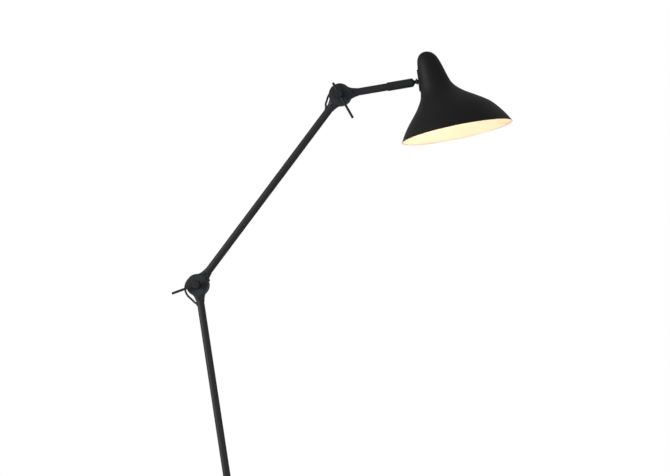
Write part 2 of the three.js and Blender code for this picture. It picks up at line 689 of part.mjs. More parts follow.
const holderBore = BULB_CAP_R + BULB_CAP_ROOM;
const glassTop = holderFoot + GLASS_IN_HOLDER;
const capTop = glassTop + BULB_CAP_LENGTH;
add(
  shadeGroup,
  "lampholder",
  "holder_plastic",
  inHolder(
    turned([
      [0, capTop + GAP],
      [holderBore, capTop + GAP],
      [holderBore, holderFoot],
      [HOLDER_R - HOLDER_EDGE, holderFoot],
      [HOLDER_R, holderFoot + HOLDER_EDGE],
      ...HOLDER_DOME.map(([inwards, down]) => [HOLDER_R - inwards, holderTop - down]),
      [STUD_R, holderTop],
      [STUD_R, bracketTop + NIPPLE_RISE],
      [0, bracketTop + NIPPLE_RISE],
    ]),
  ),
);
add(
  shadeGroup,
  "bulb_cap",
  "lamp_cap",
  inHolder(
    turned([
      [0, glassTop + GAP],
      [BULB_CAP_R, glassTop + GAP],
      ...BULB_CAP_DOME.map(([inwards, down]) => [BULB_CAP_R - inwards, capTop - down]),
      [BULB_CONTACT_R, capTop],
      [0, capTop],
    ]),
  ),
);

// The bulb's glass: a sphere that a concave neck carries up to the cap. It is hollow, and open at the
// cap.
const bulbMiddle = glassTop - BULB_LENGTH + BULB_R;
function glassOutline(offset) {
  const points = [[0, bulbMiddle - BULB_R + offset]];
  const neck = BULB_CAP_R - GLASS_IN_CAP - offset;
  const r = BULB_R - offset;
  for (let angle = GLASS_ARC.from; angle <= GLASS_ARC.to; angle += GLASS_ARC.step) {
    points.push([r * Math.cos(angle * DEG), bulbMiddle + r * Math.sin(angle * DEG)]);
  }
  for (const [out, below] of GLASS_NECK) points.push([neck + out, holderFoot - below]);
  points.push([neck, glassTop]);
  return points;
}
add(
  shadeGroup,
  "bulb_glass",
  "lamp_glass",
  inHolder(turnedRing([...glassOutline(0), ...glassOutline(BULB_WALL).reverse()], ROUND)),
);

// ---------------------------------------------------------------- the foot
const coverTop = (r) => {
  const share = r / (BASE_R - COVER_SHOULDER);
  return BASE_CROWN_Z - (BASE_CROWN_Z - BASE_EDGE_Z) * share ** 2;
};

// The cover's outline from its hole to its lower edge, moved in by an offset.
function coverOutline(offset) {
  const points = [STUD_HOLE_R, BASE_R * 0.5].map((r) => [r, coverTop(r) - offset]);
  for (let angle = 90; angle >= 0; angle -= 30) {
    const x = BASE_R - COVER_SHOULDER + (COVER_SHOULDER - offset) * Math.cos(angle * DEG);
    const z = BASE_EDGE_Z - COVER_SHOULDER + (COVER_SHOULDER - offset) * Math.sin(angle * DEG);
    points.push([x, z]);
  }
  points.push([BASE_R - offset, COVER_FOOT_Z]);
  return points;
}

const glandHole = alongY(rod(GLAND_R + GAP, 0, BASE_R + OVERCUT, SMALL_ROUND)).translate([0, 0, GLAND_Z]);
const cover = turnedRing([...coverOutline(0), ...coverOutline(COVER_WALL).reverse()], LARGE_ROUND);
add(base, "base_cover", "arm_black", cut(cover, glandHole));
add(base, "base_felt", "felt", rod(WEIGHT_R, 0, FELT_THICKNESS, LARGE_ROUND));

const weightFoot = FELT_THICKNESS + GAP;
const weightTop = BASE_EDGE_Z - COVER_WALL - WEIGHT_ROOM;
const nutSeat = weightFoot + NUT_THICKNESS + NUT_RECESS_ROOM;
add(
  base,
  "base_weight",
  "cast_iron",
  cut(
    chamferedRod(WEIGHT_R, weightFoot, weightTop, WEIGHT_CHAMFER, LARGE_ROUND),
    rod(STUD_HOLE_R, 0, REACH, SMALL_ROUND),
    rod(NUT_RECESS_R, 0, nutSeat, SMALL_ROUND),
    block([-LEAD_SLOT_HALF_WIDTH, LEAD_SLOT_HALF_WIDTH], [0, BASE_R], [0, GLAND_Z]),
  ),
);
const footNut = nut(STUD_NUT_R, STUD_HOLE_R, nutSeat - GAP - NUT_THICKNESS, nutSeat - GAP);
add(base, "base_nut", "zinc", footNut);

const stemFoot = BASE_CROWN_Z + GAP;
const stemTop = FOOT_PIVOT_Z - TUBE_START;
const studTop = FOOT_PIVOT_Z - EXIT_PLACE - STUD_BELOW_EXIT;
const footStud = sleeve(STUD_R, STUD_BORE_R, weightFoot + STUD_LIFT, studTop, SMALL_ROUND);
add(base, "base_stud", "zinc", footStud);

// Members hang a knuckle half below a pivot by turning it over.
const hung = (manifold) => manifold.rotate([180, 0, 0]).rotate([0, 0, 180]).translate([0, 0, FOOT_PIVOT_Z]);
const stem = cut(
  rod(TUBE_R, stemFoot, stemTop),
  rod(STUD_HOLE_R, 0, studTop + STEM_PLUG + OVERCUT, SMALL_ROUND),
  rod(TUBE_BORE_R, studTop + STEM_PLUG, REACH, SMALL_ROUND),
);
add(
  base,
  "base_stem",
  "arm_black",
  cut(stem, hung(grubHole()), hung(slantRod(EXIT_R, ...EXIT_SPAN, "left").rotate([0, 0, 180]))),
);
add(
  base,
  "stem_collar",
  "arm_black",
  turnedRing([
    [SOCKET_R, stemFoot],
    [STEM_COLLAR_R, stemFoot],
    ...STEM_COLLAR_DOME.map(([inwards, up]) => [STEM_COLLAR_R - inwards, BASE_CROWN_Z + up]),
    [SOCKET_R, BASE_CROWN_Z + STEM_COLLAR_DOME.at(-1)[1]],
  ]),
);
add(base, "foot_knuckle_base", "arm_black", hung(knuckleHalf(1)));
add(base, "foot_clamp_nut", "zinc", hung(clampNut()));
add(base, "foot_base_grub_screw", "screw_black", hung(grubScrew()));
add(base, "foot_base_grommet", "rubber", hung(grommet("left").rotate([0, 0, 180])));
const gland = turnedRing(
  [
    [CABLE_R + GAP, BASE_R - GLAND_DEPTH],
    [GLAND_R, BASE_R - GLAND_DEPTH],
    ...GLAND_HEAD.map(([out, past]) => [GLAND_R + out, BASE_R + past]),
    [CABLE_R + GAP, BASE_R + GLAND_END],
  ],
  SMALL_ROUND,
);
add(base, "cable_gland", "rubber", alongY(gland).translate([0, 0, GLAND_Z]));

// ---------------------------------------------------------------- knuckle fittings and cable loops
knuckleFittings("foot", FOOT);
knuckleFittings("elbow", ELBOW);
knuckleFittings("upper", UPPER);

// The cable where it leaves a tube, from inside the tube outwards, from the pivot. along is the tube's
// direction away from the pivot, and out is the side that the hole is on.
function cableExit(along, out) {
  const slant = out.clone().sub(along).normalize();
  const surface = along.clone().multiplyScalar(EXIT_PLACE).addScaledVector(out, TUBE_R);
  const onAxis = (distance) => along.clone().multiplyScalar(EXIT_PLACE + distance);
  const onSlant = (distance) => surface.clone().addScaledVector(slant, distance);
  return [
    onAxis(LEAD_RUN_IN),
    onAxis(TUBE_R + LEAD_BEND.onAxis),
    onSlant(-LEAD_BEND.inside),
    onSlant(0),
    onSlant(LEAD_BEND.outside),
  ];
}

// The stretch between the two exits, chosen by hand from the pivot: out to the left, and up behind the
// knuckle.
const LOOPS = {
  foot: [
    [-21, 0, -31.5],
    [-27.5, 0.8, -23.5],
    [-31.5, 3, -13],
    [-32, 8, -1.5],
    [-28.5, 14.5, 9.5],
    [-21.5, 18.5, 19],
    [-13.5, 20.3, 27],
    [-6.5, 19.6, 33],
  ],
  elbow: [
    [-15.5, 0, -34.5],
    [-24.2, 0, -26.5],
    [-30.4, 1.5, -17],
    [-32.6, 5, -6],
    [-31, 11, 6],
    [-25.5, 16.5, 15.5],
    [-15, 18.8, 21],
    [-2, 20.4, 23.5],
    [11, 21, 25],
    [20.5, 19.3, 28],
  ],
  upper: [
    [-33.2, 3, -12.5],
    [-31, 9, -2.5],
    [-26.3, 15.9, 7.5],
    [-16.5, 18.8, 13.5],
    [-3, 20.4, 15.3],
    [11, 21, 13],
    [24, 21, 8.6],
    [33.5, 19.3, 5.8],
  ],
};

const LEFT = {
  foot: new THREE.Vector3(-1, 0, 0),
  elbow: leaning(POST_LEAN - 90),
  upper: leaning(ARM_LEAN - 90),
};
const BACK = new THREE.Vector3(0, 1, 0);

function cableLoop(name, pivot, lowerAlong, upperAlong) {
  const route = [
    ...cableExit(lowerAlong, LEFT[name]),
    ...LOOPS[name].map(([x, y, z]) => new THREE.Vector3(x, y, z)),
    ...cableExit(upperAlong, BACK).reverse(),
  ];
  const curve = new THREE.CatmullRomCurve3(route, false, "centripetal");
  const section = new THREE.Shape();
  section.absarc(0, 0, CABLE_R, 0, 2 * Math.PI);
  const options = {
    steps: LOOP_STEPS,
    bevelEnabled: false,
    extrudePath: curve,
    curveSegments: CABLE_SIDES / 2,
  };
  const group = new THREE.Group();
  group.position.copy(pivot);
  root.add(group);
  add(group, name + "_cable_loop", "cable", solid(new THREE.ExtrudeGeometry(section, options)));
}

cableLoop("foot", FOOT, new THREE.Vector3(0, 0, -1), leaning(POST_LEAN));
cableLoop("elbow", ELBOW, leaning(POST_LEAN).negate(), leaning(ARM_LEAN));
cableLoop("upper", UPPER, leaning(ARM_LEAN).negate(), leaning(HEAD_LEAN));

export default root;
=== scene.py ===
"""The finished surfaces of an adjustable arm floor lamp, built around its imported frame.

Lengths are metres. A member's own axes are X = Y x Z, Y = the lamp's Y and Z = along the member, away
from its pivot. Every shape is worked out in its member's axes and then set in its place in the lamp.
"""

import json
import math

import bmesh
import bpy
import numpy as np
from bpy.props import FloatProperty, FloatVectorProperty, PointerProperty
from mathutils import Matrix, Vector

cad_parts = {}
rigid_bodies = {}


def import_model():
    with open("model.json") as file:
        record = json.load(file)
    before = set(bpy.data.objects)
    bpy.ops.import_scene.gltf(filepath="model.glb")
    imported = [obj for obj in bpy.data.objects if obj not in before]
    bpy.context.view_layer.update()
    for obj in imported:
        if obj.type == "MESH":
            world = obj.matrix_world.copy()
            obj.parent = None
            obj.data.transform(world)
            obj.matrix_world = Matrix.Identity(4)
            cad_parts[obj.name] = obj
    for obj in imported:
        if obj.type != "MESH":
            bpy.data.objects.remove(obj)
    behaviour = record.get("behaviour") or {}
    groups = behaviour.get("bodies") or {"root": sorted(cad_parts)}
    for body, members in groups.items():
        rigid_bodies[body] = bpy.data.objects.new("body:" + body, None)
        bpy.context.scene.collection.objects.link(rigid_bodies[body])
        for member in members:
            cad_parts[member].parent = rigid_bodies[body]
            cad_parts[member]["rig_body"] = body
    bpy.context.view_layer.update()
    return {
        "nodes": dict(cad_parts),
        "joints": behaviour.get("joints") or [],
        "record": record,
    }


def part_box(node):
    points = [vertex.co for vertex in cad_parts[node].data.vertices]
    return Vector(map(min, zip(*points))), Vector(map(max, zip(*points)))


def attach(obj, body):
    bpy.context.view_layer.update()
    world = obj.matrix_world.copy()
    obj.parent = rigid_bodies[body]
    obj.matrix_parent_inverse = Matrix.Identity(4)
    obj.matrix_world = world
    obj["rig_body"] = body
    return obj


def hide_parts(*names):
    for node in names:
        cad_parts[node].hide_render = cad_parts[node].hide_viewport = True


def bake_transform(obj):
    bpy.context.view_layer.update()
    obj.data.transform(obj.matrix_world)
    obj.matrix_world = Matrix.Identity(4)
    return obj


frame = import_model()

bl_info = {
    "name": "Adjustable Arm Floor Lamp",
    "version": (1, 0, 0),
    "blender": (4, 5, 0),
    "location": "View3D > Sidebar > Lamp",
    "description": "Finishes an adjustable arm floor lamp around its frame",
    "category": "Object",
}

MM = 0.001
GAP = 0.3 * MM  # between two pieces that touch
MERGE = 0.002 * MM  # points closer than this are one
SIDES = 96  # round a turned piece; a multiple of six, so that a hexagon's corners fall on points
FINE_SIDES = 144  # round the foot, the shade and a knuckle's disc
HOLE_SIDES = 48  # round a hole, a screw or a bar
SHARP = math.radians(32)  # edges that turn by more than this look sharp
FEWEST_FACES = 4  # a boolean that leaves fewer has failed
FAR = 60 * MM  # past everything at a knuckle
COLLAR_PLUG = 6 * MM  # from the end of the head arm's tube to the end of the collar round it
SPIGOT = 10 * MM  # how far the collar goes on inside the barrel
BARREL_CHAMFER = 2.4 * MM
SET_SCREW_EDGE = 0.7 * MM  # from the tube's end to the set screw's hole
PLATE = 2.2 * MM  # thickness of the saddle plate on the shade's neck
BRACKET_OFF = 4.1 * MM  # from the inside of the shade's wall to the bracket, along the stud
BRACKET_PLATE = 1.5 * MM
STUD_NUT = 5.5 * MM  # height of the nut behind the bracket
THREAD_SHOWING = 0.7 * MM
HOLDER_ROOM = 1.6 * MM  # from the stud's end to the lampholder
HOLDER_RADIUS = 19.5 * MM
HOLDER_DROP = 43.8 * MM  # from the shade's crown to the lampholder
HOLDER_LENGTH = 50 * MM
SKIRT_DROP = 15 * MM  # from the lampholder's top to its skirt
FLUTES = 48
FLUTE_DEPTH = 0.35 * MM
BULB_LENGTH = 80 * MM
GLASS_WALL = 1 * MM
GLAND_RADIUS = 4 * MM
SENSOR = 36  # width of the camera's sensor in millimetres
FLOOR_RADIUS, FLOOR_THICKNESS, FLOOR_MIDDLE = 2.6, 20 * MM, [0.1, 0, 0]
LIGHTS = {  # place, aim and diameter
    "key": ((-3.5, -2.1, 1.5), (0.1, 0, 1.1), 1.6),
    "fill": ((2.6, -2.4, 1.2), (0.2, 0, 1.1), 1.4),
}
UP = np.array([0.0, 0.0, 1.0])
BACK = np.array([0.0, 1.0, 0.0])
JOINTS = {joint["name"]: joint for joint in frame["joints"]}


def unit(vector):
    return vector / np.linalg.norm(vector)


def pivot(joint):
    return np.array(JOINTS[joint]["pos_m"], float)


def span(node, axis):
    """How far a CAD node reaches along one axis."""
    low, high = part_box(node)
    return high[axis] - low[axis]


FOOT, ELBOW, UPPER, BALL = (pivot(j) for j in ("foot_tilt", "elbow_tilt", "head_arm_tilt", "shade_tilt"))
POST_WAY, ARM_WAY, HEAD_WAY = unit(ELBOW - FOOT), unit(UPPER - ELBOW), unit(BALL - UPPER)


# ---------------------------------------------------------------- sizes and colours that a user may change
def a_number(name, description, default, **settings):
    return FloatProperty(name=name, description=description, default=default, **settings)


def a_length(name, description, default):
    return a_number(name, description, default, unit="LENGTH")


def an_angle(name, description, default):
    return a_number(name, description, default, subtype="ANGLE")


def a_colour(name, description, default):
    return FloatVectorProperty(name=name, description=description, subtype="COLOR", size=3, default=default)


class LampTubeSizes(bpy.types.PropertyGroup):
    """Sizes of the tubes and of the cable that runs in them."""

    radius: a_length("Tube radius", "Outer radius of every tube", span("post_tube", 1) / 2)
    wall: a_length("Tube wall", "Wall of every tube", 1.5 * MM)
    cable: a_length("Cable radius", "Radius of the cable", 2.5 * MM)
    run_in: a_length("Run in", "How far a cable loop runs on inside a tube", 25 * MM)
    saddle: a_length("Saddle radius", "Radius of a grommet's saddle", 3.8 * MM)
    rubber: a_length("Saddle wall", "Thickness of a grommet's saddle", 1.3 * MM)
    cuff: a_length("Cuff wall", "Thickness of a grommet's cuff", 0.9 * MM)
    cuff_length: a_length("Cuff length", "Length of a grommet's cuff", 4.2 * MM)


class LampKnuckleSizes(bpy.types.PropertyGroup):
    """Sizes of a half-lap knuckle."""

    disc: a_length("Disc radius", "Radius of the disc", 26.7 * MM)
    half_width: a_length("Half width", "From the middle plane to an outer face", 13 * MM)
    step: a_length("Face step", "How far the disc stands proud of the neck", 0.6 * MM)
    friction: a_length("Friction disc", "Thickness of the friction disc", span("elbow_friction_disc", 1))
    neck_wall: a_length("Neck wall", "Wall of the neck round a tube", 1.8 * MM)
    flare: a_length("Flare radius", "Concave sweep from disc to neck", 30 * MM)
    pocket: a_length("Pocket clearance", "Room round the other half's disc", 0.7 * MM)
    socket_wall: a_length("Socket wall", "Between the pocket and the tube's end", 1.2 * MM)
    socket_depth: a_length("Socket depth", "How far a tube sits in a neck", 9 * MM)
    rounding: a_length("Edge rounding", "Rounding of the cast edges", 0.45 * MM)
    grub: a_length("Set screw", "Radius of a set screw", 2.6 * MM)


class LampClampSizes(bpy.types.PropertyGroup):
    """Sizes of a clamp screw, its bar, its washer and its nut."""

    screw: a_length("Screw radius", "Radius of the shank", 4 * MM)
    boss: a_length("Boss radius", "Radius of the round head", span("elbow_clamp_screw", 0) / 2)
    bar: a_length("Bar radius", "Radius of a tommy bar", span("elbow_tommy_bar", 1) / 2)
    bar_length: a_length("Bar length", "Length of a tommy bar", 98 * MM)
    nut: a_length("Nut radius", "Nut, middle to corner", 7.5 * MM)


class LampHeadSizes(bpy.types.PropertyGroup):
    """Sizes of the collar, the barrel and the ball stud at the end of the head arm."""

    collar_start: a_length("Collar start", "From the upper pivot", 115 * MM)
    collar_length: a_length("Collar length", "Length of the collar", 13.5 * MM)
    barrel: a_length("Barrel radius", "Radius of the barrel", 10.5 * MM)
    barrel_end: a_length("Barrel end", "From the upper pivot", 178.5 * MM)
    barrel_wall: a_length("Barrel wall", "Wall of the barrel", 2.7 * MM)
    flange: a_length("Flange radius", "Radius of the stud's flange", 7.8 * MM)
    stud: a_length("Stud radius", "Radius of a threaded stud", 4.9 * MM)
    bore: a_length("Stud bore", "Radius of a stud's bore", 3 * MM)
    pitch: a_length("Thread pitch", "Pitch of a stud's thread", 1 * MM)


class LampShadeSizes(bpy.types.PropertyGroup):
    """Sizes of the shade and of what is in it."""

    radius: a_length("Shade radius", "Radius of the opening", 133.8 * MM)
    neck_radius: a_length("Shade neck radius", "Radius at the neck's foot", 35.3 * MM)
    height: a_length("Shade height", "Rim to crown", 205.8 * MM)
    wall: a_length("Shade wall", "Thickness of the metal", 1.2 * MM)
    tilt: an_angle("Shade tilt", "Turn about the ball", math.radians(-11.3))
    waist_shift: a_length("Waist shift", "How far the waist carries the neck", 27 * MM)
    neck_lean: a_number("Neck lean", "The neck's run for its rise", 0.11)
    ball_drop: a_length("Ball drop", "Crown to ball", 66.3 * MM)
    standoff: a_length("Standoff", "From the ball to the outside of the neck", 16.9 * MM)
    bulb: a_length("Bulb radius", "Radius of the bulb's glass", span("bulb_glass", 1) / 2)


class LampFootSizes(bpy.types.PropertyGroup):
    """Sizes of the foot."""

    radius: a_length("Foot radius", "Radius of the cover", span("base_cover", 0) / 2)
    crown: a_length("Crown", "Top of the cover at its middle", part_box("base_cover")[1].z)
    edge: a_length("Edge height", "Top of the cover near its rim", 17.5 * MM)
    shoulder: a_length("Shoulder", "How far in from the rim the cover turns down", 10 * MM)
    wall: a_length("Cover wall", "Thickness of the cover", 1.5 * MM)
    gland_height: a_length("Gland height", "Height of the cable gland", 9 * MM)


class LampColours(bpy.types.PropertyGroup):
    """Colours of the finishes."""

    tube: a_colour("Tubes", "Powder coat on the tubes", (0.0165, 0.017, 0.019))
    casting: a_colour("Knuckles", "Powder coat on the castings", (0.02, 0.021, 0.025))
    hardware: a_colour("Hardware", "Screws, bars, collar and barrel", (0.0115, 0.012, 0.013))
    shade: a_colour("Shade", "Outside of the shade", (0.0055, 0.0057, 0.0055))
    lining: a_colour("Shade lining", "Inside of the shade", (0.86, 0.8, 0.66))
    glow: a_colour("Lamp light", "Colour of the lit bulb", (1.0, 0.8, 0.63))


class LampStageSizes(bpy.types.PropertyGroup):
    """The camera and the lights."""

    aim: FloatVectorProperty(
        name="Aim", description="What the camera looks at", subtype="XYZ", size=3,
        default=(0.19293, 0.0, 1.10002),
    )
    distance: a_length("Distance", "Camera to aim, level", 4.5)
    bearing: an_angle("Bearing", "Turn of the camera towards +X", math.radians(8))
    eye: a_length("Eye height", "Height of the camera", 0.842)
    lens: a_number("Lens", "Focal length in millimetres", 101.3)
    key: a_number("Key light", "Power of the left light, in watts", 125)
    fill: a_number("Fill light", "Power of the right light, in watts", 18)
    surround: a_number("Surround", "Brightness of the room", 0.42)
    glow: a_number("Lamp strength", "Brightness of the bulb", 16)


# ---------------------------------------------------------------- outlines and surfaces
def rounded(outline, reach, steps=4):
    """The outline with every corner replaced by a parabola.

    It leaves each edge at the distance reach from the corner P, or at 45% of a shorter edge:
    (1-s)^2 A + 2s(1-s) P + s^2 B for s from 0 to 1. reach may be one number or one for each corner.
    """
    points = np.asarray(outline, float)
    before, after = np.roll(points, 1, 0) - points, np.roll(points, -1, 0) - points
    lengths = np.stack([np.linalg.norm(before, axis=1), np.linalg.norm(after, axis=1)])
    cut = np.minimum(reach, 0.45 * lengths.min(0))[:, None]
    start, end = points + before * cut / lengths[0][:, None], points + after * cut / lengths[1][:, None]
    s = np.linspace(0, 1, steps + 1)[None, :, None]
    corners = (1 - s) ** 2 * start[:, None] + 2 * s * (1 - s) * points[:, None] + s**2 * end[:, None]
    return corners.reshape(-1, 2)


def rounded_open(outline, reach, steps=4):
    """The same for an outline whose two ends are on the axis and stay sharp."""
    reaches = np.full(len(outline), float(reach))
    reaches[[0, -1]] = 0
    return rounded(outline, reaches, steps)


def through(points, per_span, power, first, last):
    """A cubic curve through points.

    Spans run over a time that is the distance between points to a power: 0 is uniform and 0.5 is
    centripetal. first and last are the points that the curve comes from and goes on to.
    """
    p = np.vstack([first, points, last])
    steps = np.linalg.norm(np.diff(p, axis=0), axis=1) ** power
    d0, d1, d2 = (steps[i : len(steps) - 2 + i, None] for i in range(3))
    p0, p1, p2, p3 = (p[i : len(p) - 3 + i] for i in range(4))
    leave = ((p1 - p0) / d0 - (p2 - p0) / (d0 + d1) + (p2 - p1) / d1) * d1
    arrive = ((p2 - p1) / d1 - (p3 - p1) / (d1 + d2) + (p3 - p2) / d2) * d1
    t = np.linspace(0, 1, per_span, endpoint=False)[None, :, None]
    square, cube = 3 * (p2 - p1) - 2 * leave - arrive, 2 * (p1 - p2) + leave + arrive
    a, b, c, d = (v[:, None] for v in (p1, leave, square, cube))
    return np.vstack([(a + b * t + c * t**2 + d * t**3).reshape(-1, p.shape[1]), p2[-1:]])


def moved_out(outline, distance):
    """An outline of [radius, height] moved square to itself: (r + ty d, z - tx d), t being its direction."""
    way = np.gradient(outline, axis=0)
    way /= np.linalg.norm(way, axis=1)[:, None]
    return outline + distance * np.stack([way[:, 1], -way[:, 0]], 1)


def turned(profile, sides=SIDES, corners=None, thread=None, pitch=1.0):
    """A profile of [radius, height] turned about Z: (r cos t, r sin t, z).

    corners, one for each point, cuts a circle down to a hexagon of that corner radius R, where
    r = min(r, R cos 30 / cos(t mod 60 - 30)). thread, one for each point, is the depth of a thread:
    r is less by the depth times a triangle wave of z / pitch - t / 360.
    """
    r, z = np.asarray(profile, float).T[:, :, None]
    t = np.linspace(0, 2 * np.pi, sides, endpoint=False)[None]
    r = np.repeat(r, sides, 1)
    if corners is not None:
        sixth = math.pi / 3
        r = np.minimum(r, np.asarray(corners)[:, None] * math.cos(sixth / 2) / np.cos(t % sixth - sixth / 2))
    if thread is not None:
        r = r - np.asarray(thread)[:, None] * np.abs(2 * ((z / pitch - t / (2 * np.pi)) % 1) - 1)
    return np.stack([r * np.cos(t), r * np.sin(t), np.broadcast_to(z, r.shape)], -1)


def rod(radius, low, high, sides=SIDES, edge=0.0, corners=None):
    """A cylinder about Z between two heights, with rounded edges, or a hexagon's prism."""
    outline = [[0, low], [radius, low], [radius, high], [0, high]]
    if corners is not None:
        return turned(outline, sides, corners=np.full(4, corners))
    return turned(rounded_open(outline, edge), sides)


def ring_outline(outer, inner, low, high, edge):
    """The outline of a tube or washer about Z, with rounded edges."""
    return rounded([[inner, low], [outer, low], [outer, high], [inner, high]], edge)


def about_y(points):
    """Turns a shape's Z axis to Y."""
    return points[..., [0, 2, 1]] * [1, 1, -1]


def about_x(points):
    """Turns a shape's Z axis to X."""
    return points[..., [2, 1, 0]] * [1, 1, -1]


def seated(points, origin, along=UP):
    """Takes a shape from a member's own axes to its place in the lamp."""
    z = unit(np.asarray(along, float))
    axes = np.column_stack([np.cross(BACK, z), BACK, z])
    return points @ axes.T + np.asarray(origin)


# ---------------------------------------------------------------- meshes
def cleaned(mesh):
    """Merges doubled points, drops faces without area and turns the faces outwards."""
    work = bmesh.new()
    work.from_mesh(mesh)
    bmesh.ops.remove_doubles(work, verts=work.verts, dist=MERGE)
    bmesh.ops.dissolve_degenerate(work, edges=work.edges, dist=MERGE)
    bmesh.ops.recalc_face_normals(work, faces=work.faces)
    work.to_mesh(mesh)
    work.free()
    return mesh


def surface(points, ring=False):
    """A mesh of quads on a grid of points whose columns close on themselves, and its rows too if ring."""
    rows, columns = points.shape[:2]
    row = np.arange(rows if ring else rows - 1)[:, None]
    column = np.arange(columns)[None]
    next_row, next_column = (row + 1) % rows, (column + 1) % columns
    corners = [(row, column), (row, next_column), (next_row, next_column), (next_row, column)]
    quads = np.stack(np.broadcast_arrays(*(at * columns + along for at, along in corners)), -1)
    mesh = bpy.data.meshes.new("surface")
    mesh.from_pydata(points.reshape(-1, 3).tolist(), [], quads.reshape(-1, 4).tolist())
    return cleaned(mesh)


def extruded(outline, low, high):
    """An outline of [x, z] carried along Y, closed by a flat face at each end."""
    count = len(outline)
    ends = np.stack([np.insert(outline, 1, y, axis=1) for y in (low, high)])
    index = np.arange(count)
    following = (index + 1) % count
    sides = np.stack([index, following, following + count, index + count], 1).tolist()
    mesh = bpy.data.meshes.new("extruded")
    mesh.from_pydata(ends.reshape(-1, 3).tolist(), [], [*sides, index.tolist(), (index + count).tolist()])
    return cleaned(mesh)


def evaluated(data, setup=lambda holder: None):
    """The mesh that a mesh or a curve gives once setup has added modifiers to its object."""
    holder = bpy.data.objects.new("work", data)
    bpy.context.scene.collection.objects.link(holder)
    setup(holder)
    made = bpy.data.meshes.new_from_object(holder.evaluated_get(bpy.context.evaluated_depsgraph_get()))
    bpy.data.objects.remove(holder)
    return made


def combined(first, second, operation):
    """Two closed meshes joined, cut or intersected."""
    tool = bpy.data.objects.new("tool", second)
    bpy.context.scene.collection.objects.link(tool)
    for solver in ("MANIFOLD", "EXACT"):

        def setup(holder, solver=solver):
            modifier = holder.modifiers.new("combine", "BOOLEAN")
            modifier.object, modifier.operation, modifier.solver = tool, operation, solver

        made = evaluated(first, setup)
        if len(made.polygons) >= FEWEST_FACES:
            break
    bpy.data.objects.remove(tool)
    if len(made.polygons) < FEWEST_FACES:
        raise RuntimeError(f"{operation} left nothing")
    return cleaned(made)


def cut(mesh, *tools):
    """A mesh less each of the tools."""
    for tool in tools:
        mesh = combined(mesh, tool, "DIFFERENCE")
    return mesh


def softened(mesh, width, angle=math.radians(38)):
    """A mesh whose sharp edges are rounded."""

    def setup(holder):
        bevel = holder.modifiers.new("soften", "BEVEL")
        bevel.width, bevel.segments, bevel.limit_method, bevel.angle_limit = width, 2, "ANGLE", angle
        bevel.miter_outer = "MITER_ARC"

    return evaluated(mesh, setup)


def transformed(mesh, place):
    """A copy of a mesh whose points go through a function of an array of points."""
    copy = mesh.copy()
    points = np.empty(len(copy.vertices) * 3, np.float32)
    copy.vertices.foreach_get("co", points)
    moved = place(points.reshape(-1, 3).astype(float))
    copy.vertices.foreach_set("co", moved.astype(np.float32).ravel())
    copy.update()
    return copy


def placed(mesh, origin, way):
    """A copy of a mesh, taken from a member's own axes to its place in the lamp."""
    return transformed(mesh, lambda points: seated(points, origin, way))


def piece(node, mesh, finish, blend=None):
    """Puts a mesh into the lamp for the CAD node that it stands for, on its body, with its finish.

    blend, given for a cable loop between two bodies, leaves it on no body with its points fixed where they
    are; the start and end points in it are not used.
    """
    made = bpy.data.objects.new(node + "_finished", mesh)
    bpy.context.scene.collection.objects.link(made)
    mesh.name = made.name
    if not any(mesh.materials):
        mesh.materials.clear()
        mesh.materials.append(finish_of(finish))
    with bpy.context.temp_override(object=made, active_object=made, selected_editable_objects=[made]):
        bpy.ops.object.shade_smooth_by_angle(angle=SHARP)
    if blend:
        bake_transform(made)
    else:
        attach(made, frame["nodes"][node]["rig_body"])
    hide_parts(node)


# ---------------------------------------------------------------- finishes
class Reading:
    """A socket that varies over a surface. Arithmetic on it adds Math nodes."""

    def __init__(self, finish, socket):
        self.finish = finish
        self.socket = socket

    def reckoned(self, operation, first, second):
        return self.finish.node("ShaderNodeMath", {"operation": operation}, {0: first, 1: second})

    def __add__(self, other):
        return self.reckoned("ADD", self, other)

    def __sub__(self, other):
        return self.reckoned("SUBTRACT", self, other)

    def __mul__(self, other):
        return self.reckoned("MULTIPLY", self, other)


